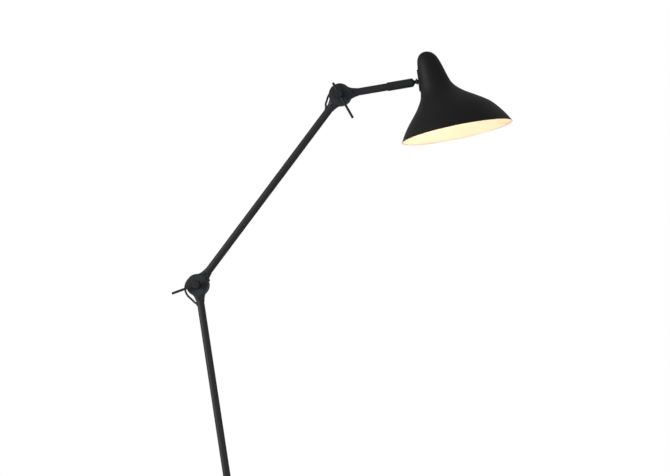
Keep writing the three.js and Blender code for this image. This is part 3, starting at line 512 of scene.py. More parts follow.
class Finish:
    """A material being built: its nodes and its main shader."""

    def __init__(self, name):
        self.material = bpy.data.materials.new(name)
        self.material.use_nodes = True
        self.tree = self.material.node_tree
        self.shader = self.tree.nodes["Principled BSDF"]
        self.place = self.node("ShaderNodeTexCoord", output="Object")

    def node(self, kind, settings=None, inputs=None, output=0):
        """Adds a node: its settings first, then the values or links of its sockets."""
        made = self.tree.nodes.new(kind)
        for key, value in (settings or {}).items():
            setattr(made, key, value)
        for key, value in (inputs or {}).items():
            self.feed(made.inputs[key], value)
        return Reading(self, made.outputs[output])

    def feed(self, socket, value):
        if isinstance(value, Reading):
            self.tree.links.new(value.socket, socket)
        else:
            socket.default_value = value

    def set(self, **sockets):
        """Sets or links sockets of the main shader, named with _ for a space."""
        for key, value in sockets.items():
            self.feed(self.shader.inputs[key.replace("_", " ")], value)

    def noise(self, size, detail=2.0, stretch=(1, 1, 1)):
        """Noise whose grain is about size metres across, stretched along axes."""
        place = self.node("ShaderNodeMapping", {}, {"Vector": self.place, "Scale": stretch})
        return self.node("ShaderNodeTexNoise", {}, {"Vector": place, "Scale": 1 / size, "Detail": detail})

    def cells(self, size):
        """The distance from the nearest of scattered points, about size metres apart."""
        return self.node("ShaderNodeTexVoronoi", {}, {"Vector": self.place, "Scale": 1 / size})

    def between(self, amount, low, high):
        """A number, from low where amount is 0 to high where it is 1."""
        return amount * (high - low) + low

    def step(self, amount, start, end):
        """0 below start, 1 above end and smooth between them."""
        inputs = {"Value": amount, "From Min": start, "From Max": end}
        return self.node("ShaderNodeMapRange", {"interpolation_type": "SMOOTHSTEP"}, inputs)

    def tint(self, amount, first, second):
        """A colour between two colours."""
        colours = [value if isinstance(value, Reading) else (*value, 1) for value in (first, second)]
        inputs = {0: amount, 6: colours[0], 7: colours[1]}
        return self.node("ShaderNodeMix", {"data_type": "RGBA"}, inputs, output=2)

    def relief(self, height, depth, strength=1.0):
        """The surface direction that a height from 0 to 1, depth metres deep, gives."""
        inputs = {"Height": height, "Distance": depth, "Strength": strength}
        return self.node("ShaderNodeBump", {}, inputs, output="Normal")


def lighter(colour, factor):
    return tuple(min(1.0, channel * factor) for channel in colour)


def powder_coat(name, colour, roughness, grain=0.55 * MM, depth=0.035 * MM):
    """Baked powder coat: an orange-peel surface, faint clouds of gloss, and pale rubbed specks."""
    f = Finish(name)
    peel = f.noise(grain, 3)
    clouds = f.noise(45 * MM, 3)
    specks = f.step(f.noise(1.6 * MM, 4), 0.66, 0.74)
    base = f.tint(clouds, lighter(colour, 0.86), lighter(colour, 1.16))
    rubbed = f.tint(specks * 0.35, base, lighter(colour, 2.1))
    f.set(
        Specular_IOR_Level=0.3,
        Base_Color=rubbed,
        Roughness=f.between(clouds, roughness - 0.05, roughness + 0.05) + peel * 0.08 - 0.04,
        Normal=f.relief(peel, depth),
    )
    return f.material


def shade_coat(name, colour):
    """Deep matt paint on spun metal: fine spray texture over very faint spinning rings."""
    f = Finish(name)
    spray = f.noise(0.4 * MM, 3)
    clouds = f.noise(60 * MM, 2)
    rings = f.noise(2.2 * MM, 2, stretch=(0.02, 0.02, 1))
    f.set(
        Specular_IOR_Level=0.22,
        Base_Color=f.tint(clouds, lighter(colour, 0.85), lighter(colour, 1.2)),
        Roughness=f.between(clouds, 0.5, 0.58) + spray * 0.06,
        Normal=f.relief(spray * 0.7 + rings * 0.3, 0.03 * MM),
    )
    return f.material


def lining_paint(name, colour):
    """Pale satin paint inside the shade, slightly yellowed in clouds."""
    f = Finish(name)
    spray = f.noise(0.7 * MM, 3)
    clouds = f.noise(50 * MM, 3)
    f.set(
        Base_Color=f.tint(clouds, colour, (colour[0], colour[1] * 0.97, colour[2] * 0.9)),
        Roughness=f.between(spray, 0.45, 0.6),
        Normal=f.relief(spray, 0.03 * MM),
    )
    return f.material


def zinc_plate(name, colour, roughness=0.32):
    """Bright plated steel with fine machining streaks and a dull bloom."""
    f = Finish(name)
    streaks = f.noise(0.5 * MM, 3, stretch=(1, 0.06, 1))
    bloom = f.noise(6 * MM, 4)
    f.set(
        Metallic=1,
        Base_Color=f.tint(bloom, lighter(colour, 0.75), lighter(colour, 1.15)),
        Roughness=f.between(bloom, roughness - 0.08, roughness + 0.14) + streaks * 0.08,
        Normal=f.relief(streaks, 0.01 * MM),
    )
    return f.material


def rubber(name, colour, roughness=0.62):
    """Moulded rubber with a dusty bloom."""
    f = Finish(name)
    skin = f.noise(0.35 * MM, 3)
    bloom = f.step(f.noise(5 * MM, 4), 0.45, 0.75)
    f.set(
        Base_Color=f.tint(bloom * 0.5, colour, lighter(colour, 2.2)),
        Roughness=f.between(bloom, roughness, roughness + 0.15),
        Normal=f.relief(skin, 0.02 * MM),
    )
    return f.material


def rough_grain(name, colour, grain, depth, roughness):
    """Raw cast iron or pressed fibre: coarse grains, each a little lighter or darker."""
    f = Finish(name)
    grains = f.cells(grain)
    mottle = f.noise(grain * 6, 4)
    f.set(
        Base_Color=f.tint(mottle, lighter(colour, 0.6), lighter(colour, 1.5)),
        Roughness=f.between(mottle, roughness - 0.1, roughness + 0.05),
        Normal=f.relief(grains + mottle * 0.5, depth),
    )
    return f.material


def felt(name, colour):
    """Pressed wool felt: crossed short fibres, with sheen."""
    f = Finish(name)
    along = f.noise(0.5 * MM, 4, stretch=(1, 0.2, 1))
    across = f.noise(0.5 * MM, 4, stretch=(0.2, 1, 1))
    fibres = (along + across) * 0.5
    f.set(
        Sheen_Weight=0.4,
        Base_Color=f.tint(fibres, lighter(colour, 0.6), lighter(colour, 2.0)),
        Roughness=f.between(fibres, 0.9, 1.0),
        Normal=f.relief(fibres, 0.15 * MM),
    )
    return f.material


def opal_glass(name, colour):
    """A lit opal bulb, a little warmer in faint clouds of the coating."""
    f = Finish(name)
    coating = f.noise(9 * MM, 3)
    warm = (colour[0], colour[1] * 0.93, colour[2] * 0.86)
    f.set(
        Emission_Strength=bpy.context.scene.lamp_stage.glow,
        Base_Color=f.tint(coating, (0.92, 0.88, 0.8), (0.85, 0.8, 0.7)),
        Emission_Color=f.tint(coating, colour, warm),
        Roughness=f.between(coating, 0.15, 0.28),
    )
    return f.material


def slot_colour(slot):
    """The base colour that the record gives a slot."""
    return tuple(next(m for m in frame["record"]["materials"] if m["slot"] == slot)["base_color"][:3])


def finish_of(finish):
    """The material of a finish, made the first time that it is asked for."""
    name = finish + "_finish"
    if name in bpy.data.materials:
        return bpy.data.materials[name]
    colours = bpy.context.scene.lamp_colours
    makers = {
        "tube_black": lambda: powder_coat(name, colours.tube, 0.55),
        "casting_black": lambda: powder_coat(name, colours.casting, 0.56, 0.8 * MM, 0.06 * MM),
        "hardware_black": lambda: powder_coat(name, colours.hardware, 0.5, 0.4 * MM, 0.02 * MM),
        "shade_black": lambda: shade_coat(name, colours.shade),
        "shade_lining": lambda: lining_paint(name, colours.lining),
        "zinc": lambda: zinc_plate(name, slot_colour(finish)),
        "rubber_black": lambda: rubber(name, slot_colour(finish)),
        "cable_black": lambda: rubber(name, slot_colour(finish), 0.45),
        "friction_fibre": lambda: rough_grain(name, slot_colour(finish), 0.5 * MM, 0.1 * MM, 0.9),
        "cast_iron": lambda: rough_grain(name, slot_colour(finish), 1.2 * MM, 0.35 * MM, 0.8),
        "felt_black": lambda: felt(name, slot_colour(finish)),
        "holder_black": lambda: rubber(name, slot_colour(finish), 0.3),
        "cap_metal": lambda: zinc_plate(name, slot_colour(finish), 0.36),
        "bulb_glass": lambda: opal_glass(name, colours.glow),
    }
    return makers[finish]()


def dress(finish, *nodes):
    """Gives CAD nodes that stay as they are a finish."""
    for node in nodes:
        made = frame["nodes"][node]
        made.data.materials.clear()
        made.data.materials.append(finish_of(finish))


# ---------------------------------------------------------------- places along a member, from its pivot
def socket_start():
    k = bpy.context.scene.lamp_knuckles
    return k.disc + k.pocket + k.socket_wall


def neck_end():
    return socket_start() + bpy.context.scene.lamp_knuckles.socket_depth


def tube_start():
    return socket_start() + GAP


def cable_exit():
    """Where a cable leaves a tube: past the neck's end by the slanting length of a grommet."""
    t = bpy.context.scene.lamp_tubes
    return neck_end() + t.saddle * math.sqrt(2) + t.rubber + 3 * GAP


def set_screw_place():
    return tube_start() + SET_SCREW_EDGE + bpy.context.scene.lamp_knuckles.grub + GAP


# The six ends of members at knuckles: name of the knuckle and of the member, pivot, way along the member
# from the pivot, which side its disc is on, and the side its cable comes out on.
LEFT_SIDE, BACK_SIDE = np.array([1.0, 0.0, 0.0]), BACK
MEMBER_ENDS = [
    ("foot", "base", FOOT, -UP, 1, LEFT_SIDE),
    ("foot", "post", FOOT, POST_WAY, -1, BACK_SIDE),
    ("elbow", "post", ELBOW, -POST_WAY, -1, LEFT_SIDE),
    ("elbow", "arm", ELBOW, ARM_WAY, 1, BACK_SIDE),
    ("upper", "arm", UPPER, -ARM_WAY, 1, LEFT_SIDE),
    ("upper", "head", UPPER, HEAD_WAY, -1, BACK_SIDE),
]
KNUCKLES = {"foot": FOOT, "elbow": ELBOW, "upper": UPPER}
NUT_WAYS = {"foot": -UP, "elbow": ARM_WAY, "upper": -ARM_WAY}  # the way of the member that holds the nut


def slant_tool(radius, out):
    """A cylinder on the slanting line that a cable takes out of a tube."""
    t = bpy.context.scene.lamp_tubes
    at = cable_exit() * UP + t.radius * out
    z = unit(out - UP)
    x = unit(np.cross(np.cross(UP, out), z))
    axes = np.column_stack([x, np.cross(z, x), z])
    return surface(rod(radius, -8 * MM, 12 * MM, HOLE_SIDES) @ axes.T + at)


def cable_saddle(out):
    """The rubber ring round a cable's way out.

    A point at angle f on a slanting cylinder of radius c and on the tube-wide cylinder of radius R has
    v = c sin f to the side, u = sqrt(R^2 - v^2) outwards and exit + sqrt(2) c cos f - (u - tube) along.
    The pairs c, R run round the ring's section.
    """
    t = bpy.context.scene.lamp_tubes
    inner, outer = t.cable + GAP, t.saddle
    low, high = t.radius + GAP, t.radius + GAP + t.rubber
    reach = [0.05 * MM, 0.05 * MM, 0.5 * MM, 0.4 * MM]
    section = ring_outline(outer, inner, low, high, reach)
    c, reach = section.T[:, :, None]
    f = np.linspace(0, 2 * np.pi, 64, endpoint=False)[None]
    v = c * np.sin(f)
    u = np.sqrt(reach**2 - v**2)
    along = cable_exit() + math.sqrt(2) * c * np.cos(f) - (u - t.radius)
    u, v, along = u[..., None], v[..., None], along[..., None]
    return surface(u * out + v * np.cross(UP, out) + along * UP, ring=True)


# ---------------------------------------------------------------- operators
class LAMP_OT_tubes(bpy.types.Operator):
    """Builds the post, the upper arm and the head arm tubes, with the holes that the cable uses"""

    bl_idname = "lamp.tubes"
    bl_label = "Tubes"

    def execute(self, context):
        t, h = context.scene.lamp_tubes, context.scene.lamp_head
        exit_radius = t.cable + 0.9 * MM
        around = np.array([-14, -7, 0, 7]) * MM + cable_exit()
        post, arm = np.linalg.norm(ELBOW - FOOT), np.linalg.norm(UPPER - ELBOW)
        low = tube_start()
        head_end = h.collar_start + h.collar_length - COLLAR_PLUG
        members = [
            ("post_tube", FOOT, POST_WAY, post, post - low, True),
            ("arm_tube", ELBOW, ARM_WAY, arm, arm - low, True),
            ("head_tube", UPPER, HEAD_WAY, 0, head_end, False),
        ]
        bore = t.radius - t.wall
        for node, origin, way, length, high, both in members:
            stops = np.unique(np.round([low, *around, *(length - around if both else []), high], 6))
            stops = stops[(stops >= low) & (stops <= high)]
            outside = np.stack([np.full_like(stops, t.radius), stops], 1)
            inside = np.stack([np.full_like(stops, bore), stops[::-1]], 1)
            reach = np.zeros(2 * len(stops))
            reach[[0, len(stops) - 1, len(stops), -1]] = 0.3 * MM
            tube = surface(turned(rounded(np.vstack([outside, inside]), reach)), ring=True)
            tube = cut(tube, slant_tool(exit_radius, BACK_SIDE))
            if both:
                near = slant_tool(exit_radius, -LEFT_SIDE)
                far = transformed(near, lambda points, end=length: points * [1, 1, -1] + end * UP)
                tube = cut(tube, cleaned(far))
            piece(node, placed(tube, origin, way), "tube_black")
        return {"FINISHED"}


def neck_radii(places):
    """The neck's radius at places along it.

    First the disc's own circle sqrt(D^2 - s^2), then a concave arc N + F - sqrt(F^2 - (c - s)^2) of
    radius F that is tangent to the circle and to the straight neck, then the neck's radius N.
    """
    k, t = bpy.context.scene.lamp_knuckles, bpy.context.scene.lamp_tubes
    neck = t.radius + k.neck_wall
    centre = math.sqrt((k.disc + k.flare) ** 2 - (neck + k.flare) ** 2)
    tangent = centre * k.disc / (k.disc + k.flare)
    circle = np.sqrt(np.maximum(k.disc**2 - places**2, 0))
    sweep = neck + k.flare - np.sqrt(np.maximum(k.flare**2 - (centre - places) ** 2, 0))
    return np.select([places < tangent, places > centre], [circle, neck], sweep)


def knuckle_half(side):
    """One half of a knuckle in its member's axes. side is -1 where its disc is in front, 1 at the back."""
    scene = bpy.context.scene
    k, t, c = scene.lamp_knuckles, scene.lamp_tubes, scene.lamp_clamps
    face = k.friction / 2 + GAP
    end = neck_end()
    places = np.linspace(k.disc * 0.45, end - 1.4 * MM, 56)
    radii = neck_radii(places)
    tip = [[radii[-1] - 1.1 * MM, end], [0, end]]
    profile = np.vstack([[[0, places[0]]], np.stack([radii, places], 1), tip])
    neck = surface(turned(profile))
    flat = k.half_width - k.step
    slab = extruded(np.array([[-FAR, 0], [FAR, 0], [FAR, 2 * FAR], [-FAR, 2 * FAR]]), -flat, flat)
    neck = combined(neck, slab, "INTERSECT")
    outline = [[0, face], [k.disc, face], [k.disc, k.half_width], [0, k.half_width]]
    disc = turned(rounded(outline, [0, 0.3 * MM, 1.5 * MM, 0], 6), FINE_SIDES)
    pocket = rod(k.disc + k.pocket, -face, FAR, FINE_SIDES)
    neck = cut(neck, surface(about_y(pocket) * [1, -side, -side]))
    half = combined(neck, surface(about_y(disc) * [1, side, side]), "UNION")
    half = cut(
        half,
        surface(rod(t.radius + GAP, socket_start(), end + 1 * MM)),
        surface(about_y(rod(c.screw + GAP, -FAR, FAR, HOLE_SIDES))),
        surface(about_y(rod(k.grub + GAP, -FAR, 0, HOLE_SIDES)) + set_screw_place() * UP),
    )
    if side > 0:
        low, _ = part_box("elbow_clamp_nut")
        radius = c.nut + GAP
        half = cut(half, surface(about_y(rod(radius, low.y - GAP, FAR, HOLE_SIDES, corners=radius))))
    return softened(half, k.rounding)


class LAMP_OT_knuckles(bpy.types.Operator):
    """Builds the six cast knuckle halves: a disc, a pocket for the other disc and a flared neck"""

    bl_idname = "lamp.knuckles"
    bl_label = "Knuckle castings"

    def execute(self, context):
        halves = {side: knuckle_half(side) for side in (-1, 1)}
        for knuckle, member, origin, way, side, _ in MEMBER_ENDS:
            piece(f"{knuckle}_knuckle_{member}", placed(halves[side], origin, way), "casting_black")
        return {"FINISHED"}


class LAMP_OT_set_screws(bpy.types.Operator):
    """Builds the set screw in the front of each neck, with its hexagon socket"""

    bl_idname = "lamp.set_screws"
    bl_label = "Set screws"

    def execute(self, context):
        k = context.scene.lamp_knuckles
        front = k.half_width - k.step
        depth, socket, sunk = 5.2 * MM, 2 * MM, 0.35 * MM
        key = k.grub * 0.55
        face = min(float(neck_radii(np.array([set_screw_place()]))[0]), front) - sunk
        outline = [[0, face - socket], [key, face - 2.2 * MM], [key, face - 0.1 * MM], [key * 1.15, face]]
        outline += [[k.grub, face], [k.grub, face - depth], [0, face - depth]]
        hexagon, circle = [key] * 4, [1] * 3
        reach = np.array([0, 0, 0, 0, 0.35, 0.3, 0]) * MM
        points = turned(rounded(outline, reach, 3), HOLE_SIDES, corners=np.repeat(hexagon + circle, 4))
        shape = surface(about_y(points) * [1, -1, -1] + set_screw_place() * UP)
        for knuckle, member, origin, way, _, _ in MEMBER_ENDS:
            piece(f"{knuckle}_{member}_grub_screw", placed(shape, origin, way), "hardware_black")
        return {"FINISHED"}


class LAMP_OT_grommets(bpy.types.Operator):
    """Builds the rubber cuff at each neck's end, with a saddle round the cable's way out"""

    bl_idname = "lamp.grommets"
    bl_label = "Grommets"

    def execute(self, context):
        t = context.scene.lamp_tubes
        start, inner = neck_end() + GAP, t.radius + GAP
        cuff_outline = ring_outline(inner + t.cuff, inner, start, start + t.cuff_length, 0.35 * MM)
        for knuckle, member, origin, way, _, out in MEMBER_ENDS:
            cuff = surface(turned(cuff_outline), ring=True)
            clear = cut(cuff, slant_tool(t.cable + GAP, out))
            shape = combined(clear, cable_saddle(out), "UNION")
            piece(f"{knuckle}_{member}_grommet", placed(shape, origin, way), "rubber_black")
        return {"FINISHED"}


def hexagon_nut(radius, thickness, bore):
    """A nut about Z: a hexagon whose corners are cut back by a cone at each end."""
    high, rise = radius * 0.9, radius * 0.1 * math.tan(math.radians(30)) * 1.6
    edge = 0.4 * MM
    share = np.linspace(0, 1, 6)[:, None]
    lower = [high, 0] + share * [radius - high, rise]
    upper = [radius, thickness - rise] + share * [high - radius, rise]
    hole = [[bore + edge, thickness], [bore, thickness - edge]]
    rows = np.vstack([[[bore, edge], [bore + edge, 0]], lower, upper, hole])
    return turned(rows, corners=np.full(len(rows), radius))


class LAMP_OT_clamps(bpy.types.Operator):
    """Builds each knuckle's clamp screw, tommy bar, washer, friction disc and nut"""

    bl_idname = "lamp.clamps"
    bl_label = "Clamp screws and bars"

    def execute(self, context):
        c = context.scene.lamp_clamps
        for knuckle, origin in KNUCKLES.items():
            self.screw_and_bar(c, knuckle, origin)
            washer, disc, nut = (knuckle + part for part in ("_clamp_washer", "_friction_disc", "_clamp_nut"))
            rings = ((washer, 0.3 * MM, "hardware_black"), (disc, 0.15 * MM, "friction_fibre"))
            for node, edge, finish in rings:
                low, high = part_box(node)
                outline = ring_outline((high.x - low.x) / 2, c.screw + GAP, low.y, high.y, edge)
                piece(node, surface(seated(about_y(turned(outline)), origin), ring=True), finish)
            low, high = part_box(nut)
            shape = about_y(hexagon_nut(c.nut, high.y - low.y, c.screw + GAP)) + low.y * BACK
            piece(nut, surface(seated(shape, origin, NUT_WAYS[knuckle]), ring=True), "zinc")
        return {"FINISHED"}

    def screw_and_bar(self, c, knuckle, origin):
        """The bar lies in the boss's cross hole, on the line through its CAD node's two far corners."""
        low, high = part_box(knuckle + "_clamp_screw")
        bar_low, bar_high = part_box(knuckle + "_tommy_bar")
        depth = (bar_low.y + bar_high.y) / 2
        way, reach = bar_line(knuckle, origin)
        seat = origin + depth * BACK
        boss_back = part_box(knuckle + "_clamp_washer")[0].y - GAP
        edge = np.array([0, 0.6, 0.3, 0, 0.2, 0]) * MM
        outline = [[0, low.y], [c.boss, low.y], [c.boss, boss_back]]
        outline += [[c.screw, boss_back], [c.screw, high.y], [0, high.y]]
        screw = surface(seated(about_y(turned(rounded(outline, edge, 6))), origin))
        hole = surface(seated(rod(c.bar + GAP, -4 * c.boss, 4 * c.boss, HOLE_SIDES), seat, way))
        screw = softened(cut(screw, hole), 0.3 * MM)
        piece(knuckle + "_clamp_screw", screw, "hardware_black")
        bar = rod(c.bar, reach - c.bar_length, reach, HOLE_SIDES, edge=0.9 * MM)
        piece(knuckle + "_tommy_bar", surface(seated(bar, seat, way)), "hardware_black")


def bar_line(knuckle, origin):
    """The direction of a tommy bar towards its long end, and how far that end is from the screw's axis.

    The CAD bar's vertices are spread along a line in the XZ plane: its direction is the one in which
    they spread most.
    """
    data = frame["nodes"][knuckle + "_tommy_bar"].data
    points = np.empty(len(data.vertices) * 3, np.float32)
    data.vertices.foreach_get("co", points)
    flat = points.reshape(-1, 3)[:, [0, 2]].astype(float) - origin[[0, 2]]
    ends = flat.mean(0)
    way = np.linalg.svd(flat - ends)[2][0]
    places = flat @ way
    if -places.min() > places.max():
        way, places = -way, -places
    return np.array([way[0], 0, way[1]]), places.max()


# The stretch of each loop between its two exits, listed in millimetres from the pivot: out to
# the left of the knuckle and up behind it.
LOOPS = {
    "foot": [
        [-21, 0, -31.5], [-27.5, 0.8, -23.5], [-31.5, 3, -13], [-32, 8, -1.5],
        [-28.5, 14.5, 9.5], [-21.5, 18.5, 19], [-13.5, 20.3, 27], [-6.5, 19.6, 33],
    ],
    "elbow": [
        [-15.5, 0, -34.5], [-24.2, 0, -26.5], [-30.4, 1.5, -17], [-32.6, 5, -6], [-31, 11, 6],
        [-25.5, 16.5, 15.5], [-15, 18.8, 21], [-2, 20.4, 23.5], [11, 21, 25], [20.5, 19.3, 28],
    ],
    "upper": [
        [-33.2, 3, -12.5], [-31, 9, -2.5], [-26.3, 15.9, 7.5], [-16.5, 18.8, 13.5],
        [-3, 20.4, 15.3], [11, 21, 13], [24, 21, 8.6], [33.5, 19.3, 5.8],
    ],
}


class LAMP_OT_cables(bpy.types.Operator):
    """Builds the cable loop that passes each knuckle, out of one tube and into the next"""

    bl_idname = "lamp.cables"
    bl_label = "Cable loops"

    def execute(self, context):
        t = context.scene.lamp_tubes
        ways = {"foot": (UP, POST_WAY), "elbow": (POST_WAY, ARM_WAY), "upper": (ARM_WAY, HEAD_WAY)}
        for knuckle, origin in KNUCKLES.items():
            lower, upper = ways[knuckle]
            left = -np.cross(BACK, lower)
            first = self.way_out(t, -lower, left)
            second = self.way_out(t, upper, BACK)[::-1]
            route = np.vstack([first, np.array(LOOPS[knuckle]) * MM, second])
            path = through(route, 8, 0.5, 2 * route[0] - route[1], 2 * route[-1] - route[-2]) + origin
            blend = (first[3] + origin, second[1] + origin)
            piece(f"{knuckle}_cable_loop", self.sheath(path, t.cable), "cable_black", blend)
        dress("cable_black", "post_lead", "arm_lead")
        return {"FINISHED"}

    def way_out(self, t, along, out):
        """Points on the cable from inside a tube, along its axis, and out on the slanting line."""
        slant = unit(out - along)
        mouth = along * cable_exit() + out * t.radius
        inside = [along * (cable_exit() + t.run_in), along * (cable_exit() + t.radius + 2.5 * MM)]
        return np.array([*inside, mouth - 6 * MM * slant, mouth, mouth + 8 * MM * slant])

    def sheath(self, path, radius):
        """A round tube along a path, with closed ends."""
        curve = bpy.data.curves.new("path", "CURVE")
        curve.dimensions = "3D"
        spline = curve.splines.new("POLY")
        spline.points.add(len(path) - 1)
        spline.points.foreach_set("co", np.column_stack([path, np.ones(len(path))]).ravel())
        curve.bevel_depth, curve.bevel_resolution, curve.use_fill_caps = radius, 4, True
        return cleaned(evaluated(curve))


class LAMP_OT_head(bpy.types.Operator):
    """Builds the collar, the barrel that turns on it and the ball stud that the barrel holds"""

    bl_idname = "lamp.head"
    bl_label = "Head swivel"

    def execute(self, context):
        h, t, s = context.scene.lamp_head, context.scene.lamp_tubes, context.scene.lamp_shade
        collar_end = h.collar_start + h.collar_length
        bore = h.barrel - h.barrel_wall
        spigot = bore - GAP
        step = collar_end - COLLAR_PLUG + GAP
        sleeve = t.radius + GAP
        collar = [
            [h.bore, step], [sleeve, step], [sleeve, h.collar_start], [h.barrel, h.collar_start],
            [h.barrel, collar_end], [spigot, collar_end], [spigot, collar_end + SPIGOT],
            [h.bore, collar_end + SPIGOT],
        ]
        reach = np.array([0, 0, 0.2, 0.9, 0.5, 0, 0.5, 0]) * MM
        points = seated(turned(rounded(collar, reach)), UPPER, HEAD_WAY)
        piece("head_collar", surface(points, ring=True), "hardware_black")

        ball_place = np.linalg.norm(BALL - UPPER)
        ball = bore - GAP
        lip = math.sqrt(ball**2 - (h.barrel_end - ball_place) ** 2) + GAP
        start = collar_end + GAP
        barrel = [
            [bore, start], [h.barrel, start], [h.barrel, h.barrel_end - BARREL_CHAMFER],
            [h.barrel - BARREL_CHAMFER, h.barrel_end], [lip, h.barrel_end], [bore, ball_place + 0.5 * MM],
        ]
        reach = np.array([0, 0.5, 0.8, 0.5, 0.15, 0.3]) * MM
        points = seated(turned(rounded(barrel, reach)), UPPER, HEAD_WAY)
        piece("head_barrel", surface(points, ring=True), "hardware_black")
        self.stud(h, s, ball)
        return {"FINISHED"}

    def stud(self, h, s, ball):
        """A ball, a narrow neck, a cone that ends in a flange, and a thread. It is hollow for the lead."""
        flange = s.standoff - GAP - PLATE - 1.5 * MM
        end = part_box("ball_stud")[1].x - BALL[0]
        end = end / math.cos(s.tilt) - h.stud * abs(math.tan(s.tilt))
        back, front = math.acos(h.bore / ball), math.acos(4 * MM / ball)
        angle = np.linspace(-back, front, 32)
        round_part = np.stack([ball * np.cos(angle), ball * np.sin(angle)], 1)
        neck = [4.3 * MM, ball + 0.2 * MM]
        rim = [[h.flange, flange - 1 * MM], [h.flange, flange], [h.stud, flange]]
        cone = rounded_open([round_part[-1], neck, *rim], 0.5 * MM)
        turns = np.arange(flange, end, h.pitch / 8)
        thread = np.stack([np.full_like(turns, h.stud), turns], 1)
        rows = np.vstack([round_part, cone, thread, [[h.bore, end]]])
        depth = np.concatenate([np.zeros(len(round_part) + len(cone)), np.full(len(turns), 0.5 * MM), [0]])
        shape = about_x(turned(rows, HOLE_SIDES, thread=depth, pitch=h.pitch))
        piece("ball_stud", surface(in_shade(shape), ring=True), "hardware_black")


# ---------------------------------------------------------------- the shade's shape
# The outside of the shade from the rim to the crown, each point with a share of the height: the flare's
# are shares of the way from the neck to the rim, and the neck's are shares of its radius.
FLARE = [
    [1, 0], [0.893, 0.092], [0.755, 0.185], [0.588, 0.277], [0.382, 0.369], [0.179, 0.462], [0.058, 0.554],
]
NECK = [
    [1, 0.651], [0.902, 0.743], [0.807, 0.836], [0.659, 0.923], [0.436, 0.974], [0.182, 0.996], [0, 1],
]
WAIST = (0.243, 0.622)  # shares of the height between which the waist shifts the neck
NECK_FOOT = 0.56  # share of the height above which the neck leans
NECK_BLEND = 8 * MM


def in_shade(points):
    """Takes a shape from the shade's own axes, with the ball at the origin, to its place in the lamp."""
    tilt = bpy.context.scene.lamp_shade.tilt
    return seated(points, BALL, [math.sin(tilt), 0, math.cos(tilt)])


def shade_outline():
    """The outside of the shade from the rim to the crown, as a curve of [radius, height]."""
    s = bpy.context.scene.lamp_shade
    flare = np.array(FLARE) * [s.radius - s.neck_radius, s.height] + [s.neck_radius, 0]
    points = np.vstack([flare, np.array(NECK) * [s.neck_radius, s.height]])
    return through(points, 8, 0, points[0] - 1e-9, points[-1] + 1e-9)


def shade_shift(height):
    """How far the shade's round section at a height stands off the opening's axis.

    The waist carries it by waist_shift times t^2 (3 - 2t), t running from 0 to 1 between the waist's two
    heights; above the neck's foot it goes on by half the neck's lean times a + hypot(a, blend), where a
    is the height above the neck's foot.
    """
    s = bpy.context.scene.lamp_shade
    t = np.clip((height / s.height - WAIST[0]) / (WAIST[1] - WAIST[0]), 0, 1)
    above = height - NECK_FOOT * s.height
    return -s.waist_shift * t * t * (3 - 2 * t) - s.neck_lean / 2 * (above + np.hypot(above, NECK_BLEND))


def shade_radius(height):
    outline = shade_outline()
    return np.interp(height, outline[:, 1], outline[:, 0])


def shade_middle():
    """The middle of the opening, from the ball, in the shade's own x and z."""
    s = bpy.context.scene.lamp_shade
    ball_height = s.height - s.ball_drop
    return np.array([s.standoff + shade_radius(ball_height) - shade_shift(ball_height), -ball_height])


def leaning(points):
    """Shifts each round section of a turned shape as the shade leans, and sets it where the shade is."""
    x, z = shade_middle()
    shift = shade_shift(points[..., 2]) + x
    return points + np.stack([shift, np.zeros_like(shift), np.full_like(shift, z)], -1)


class LAMP_OT_shade(bpy.types.Operator):
    """Builds the spun shade as one closed shell, black outside and pale inside, with a rolled rim"""

    bl_idname = "lamp.shade"
    bl_label = "Shade"

    def execute(self, context):
        s, h = context.scene.lamp_shade, context.scene.lamp_head
        outside = shade_outline()
        inside = moved_out(outside, -s.wall)
        inside[-1] = [0, s.height - s.wall]
        lip = [[s.radius - 0.25 * s.wall, 0], [s.radius - 0.75 * s.wall, 0]]
        inside[0] = [s.radius - s.wall, 0.3 * s.wall]
        profile = np.vstack([outside[::-1][:-1], [[s.radius, 0.3 * s.wall]], lip, inside])
        shell = surface(leaning(turned(profile, FINE_SIDES)))
        hole = surface(about_x(rod(h.stud + GAP, 0, 2 * s.standoff, HOLE_SIDES)))
        shell = cut(shell, hole)
        self.line(shell)
        piece("shade", transformed(shell, in_shade), "shade_black")
        return {"FINISHED"}

    def line(self, mesh):
        """Gives the lining to the faces that look the other way from the outside of the shade.

        The outside looks along (dz, -dr) of its outline, so a face is lined where its own direction is
        against that one. The rim's underside is lined too: pale paint there is painted light, standing in
        for the glare of the lit inside on a black hem.
        """
        values = np.empty((2, len(mesh.polygons) * 3), np.float32)
        mesh.polygons.foreach_get("center", values[0])
        mesh.polygons.foreach_get("normal", values[1])
        centre, way = values.reshape(2, -1, 3).astype(float)
        x, z = shade_middle()
        height = centre[:, 2] - z
        radial = np.stack([centre[:, 0] - x - shade_shift(height), centre[:, 1]], 1)
        radial /= np.maximum(np.linalg.norm(radial, axis=1), MERGE)[:, None]
        outline = shade_outline()
        run = np.gradient(outline, axis=0)
        out, up = (np.interp(height, outline[:, 1], part) for part in (run[:, 1], -run[:, 0]))
        facing = out * (radial * way[:, :2]).sum(1) + up * way[:, 2]
        mesh.materials.clear()
        for finish in ("shade_black", "shade_lining"):
            mesh.materials.append(finish_of(finish))
        # faces against the outside take the lining; on the rim's underside that pale colour is painted glare
        mesh.polygons.foreach_set("material_index", (facing < 0).astype(np.int32))


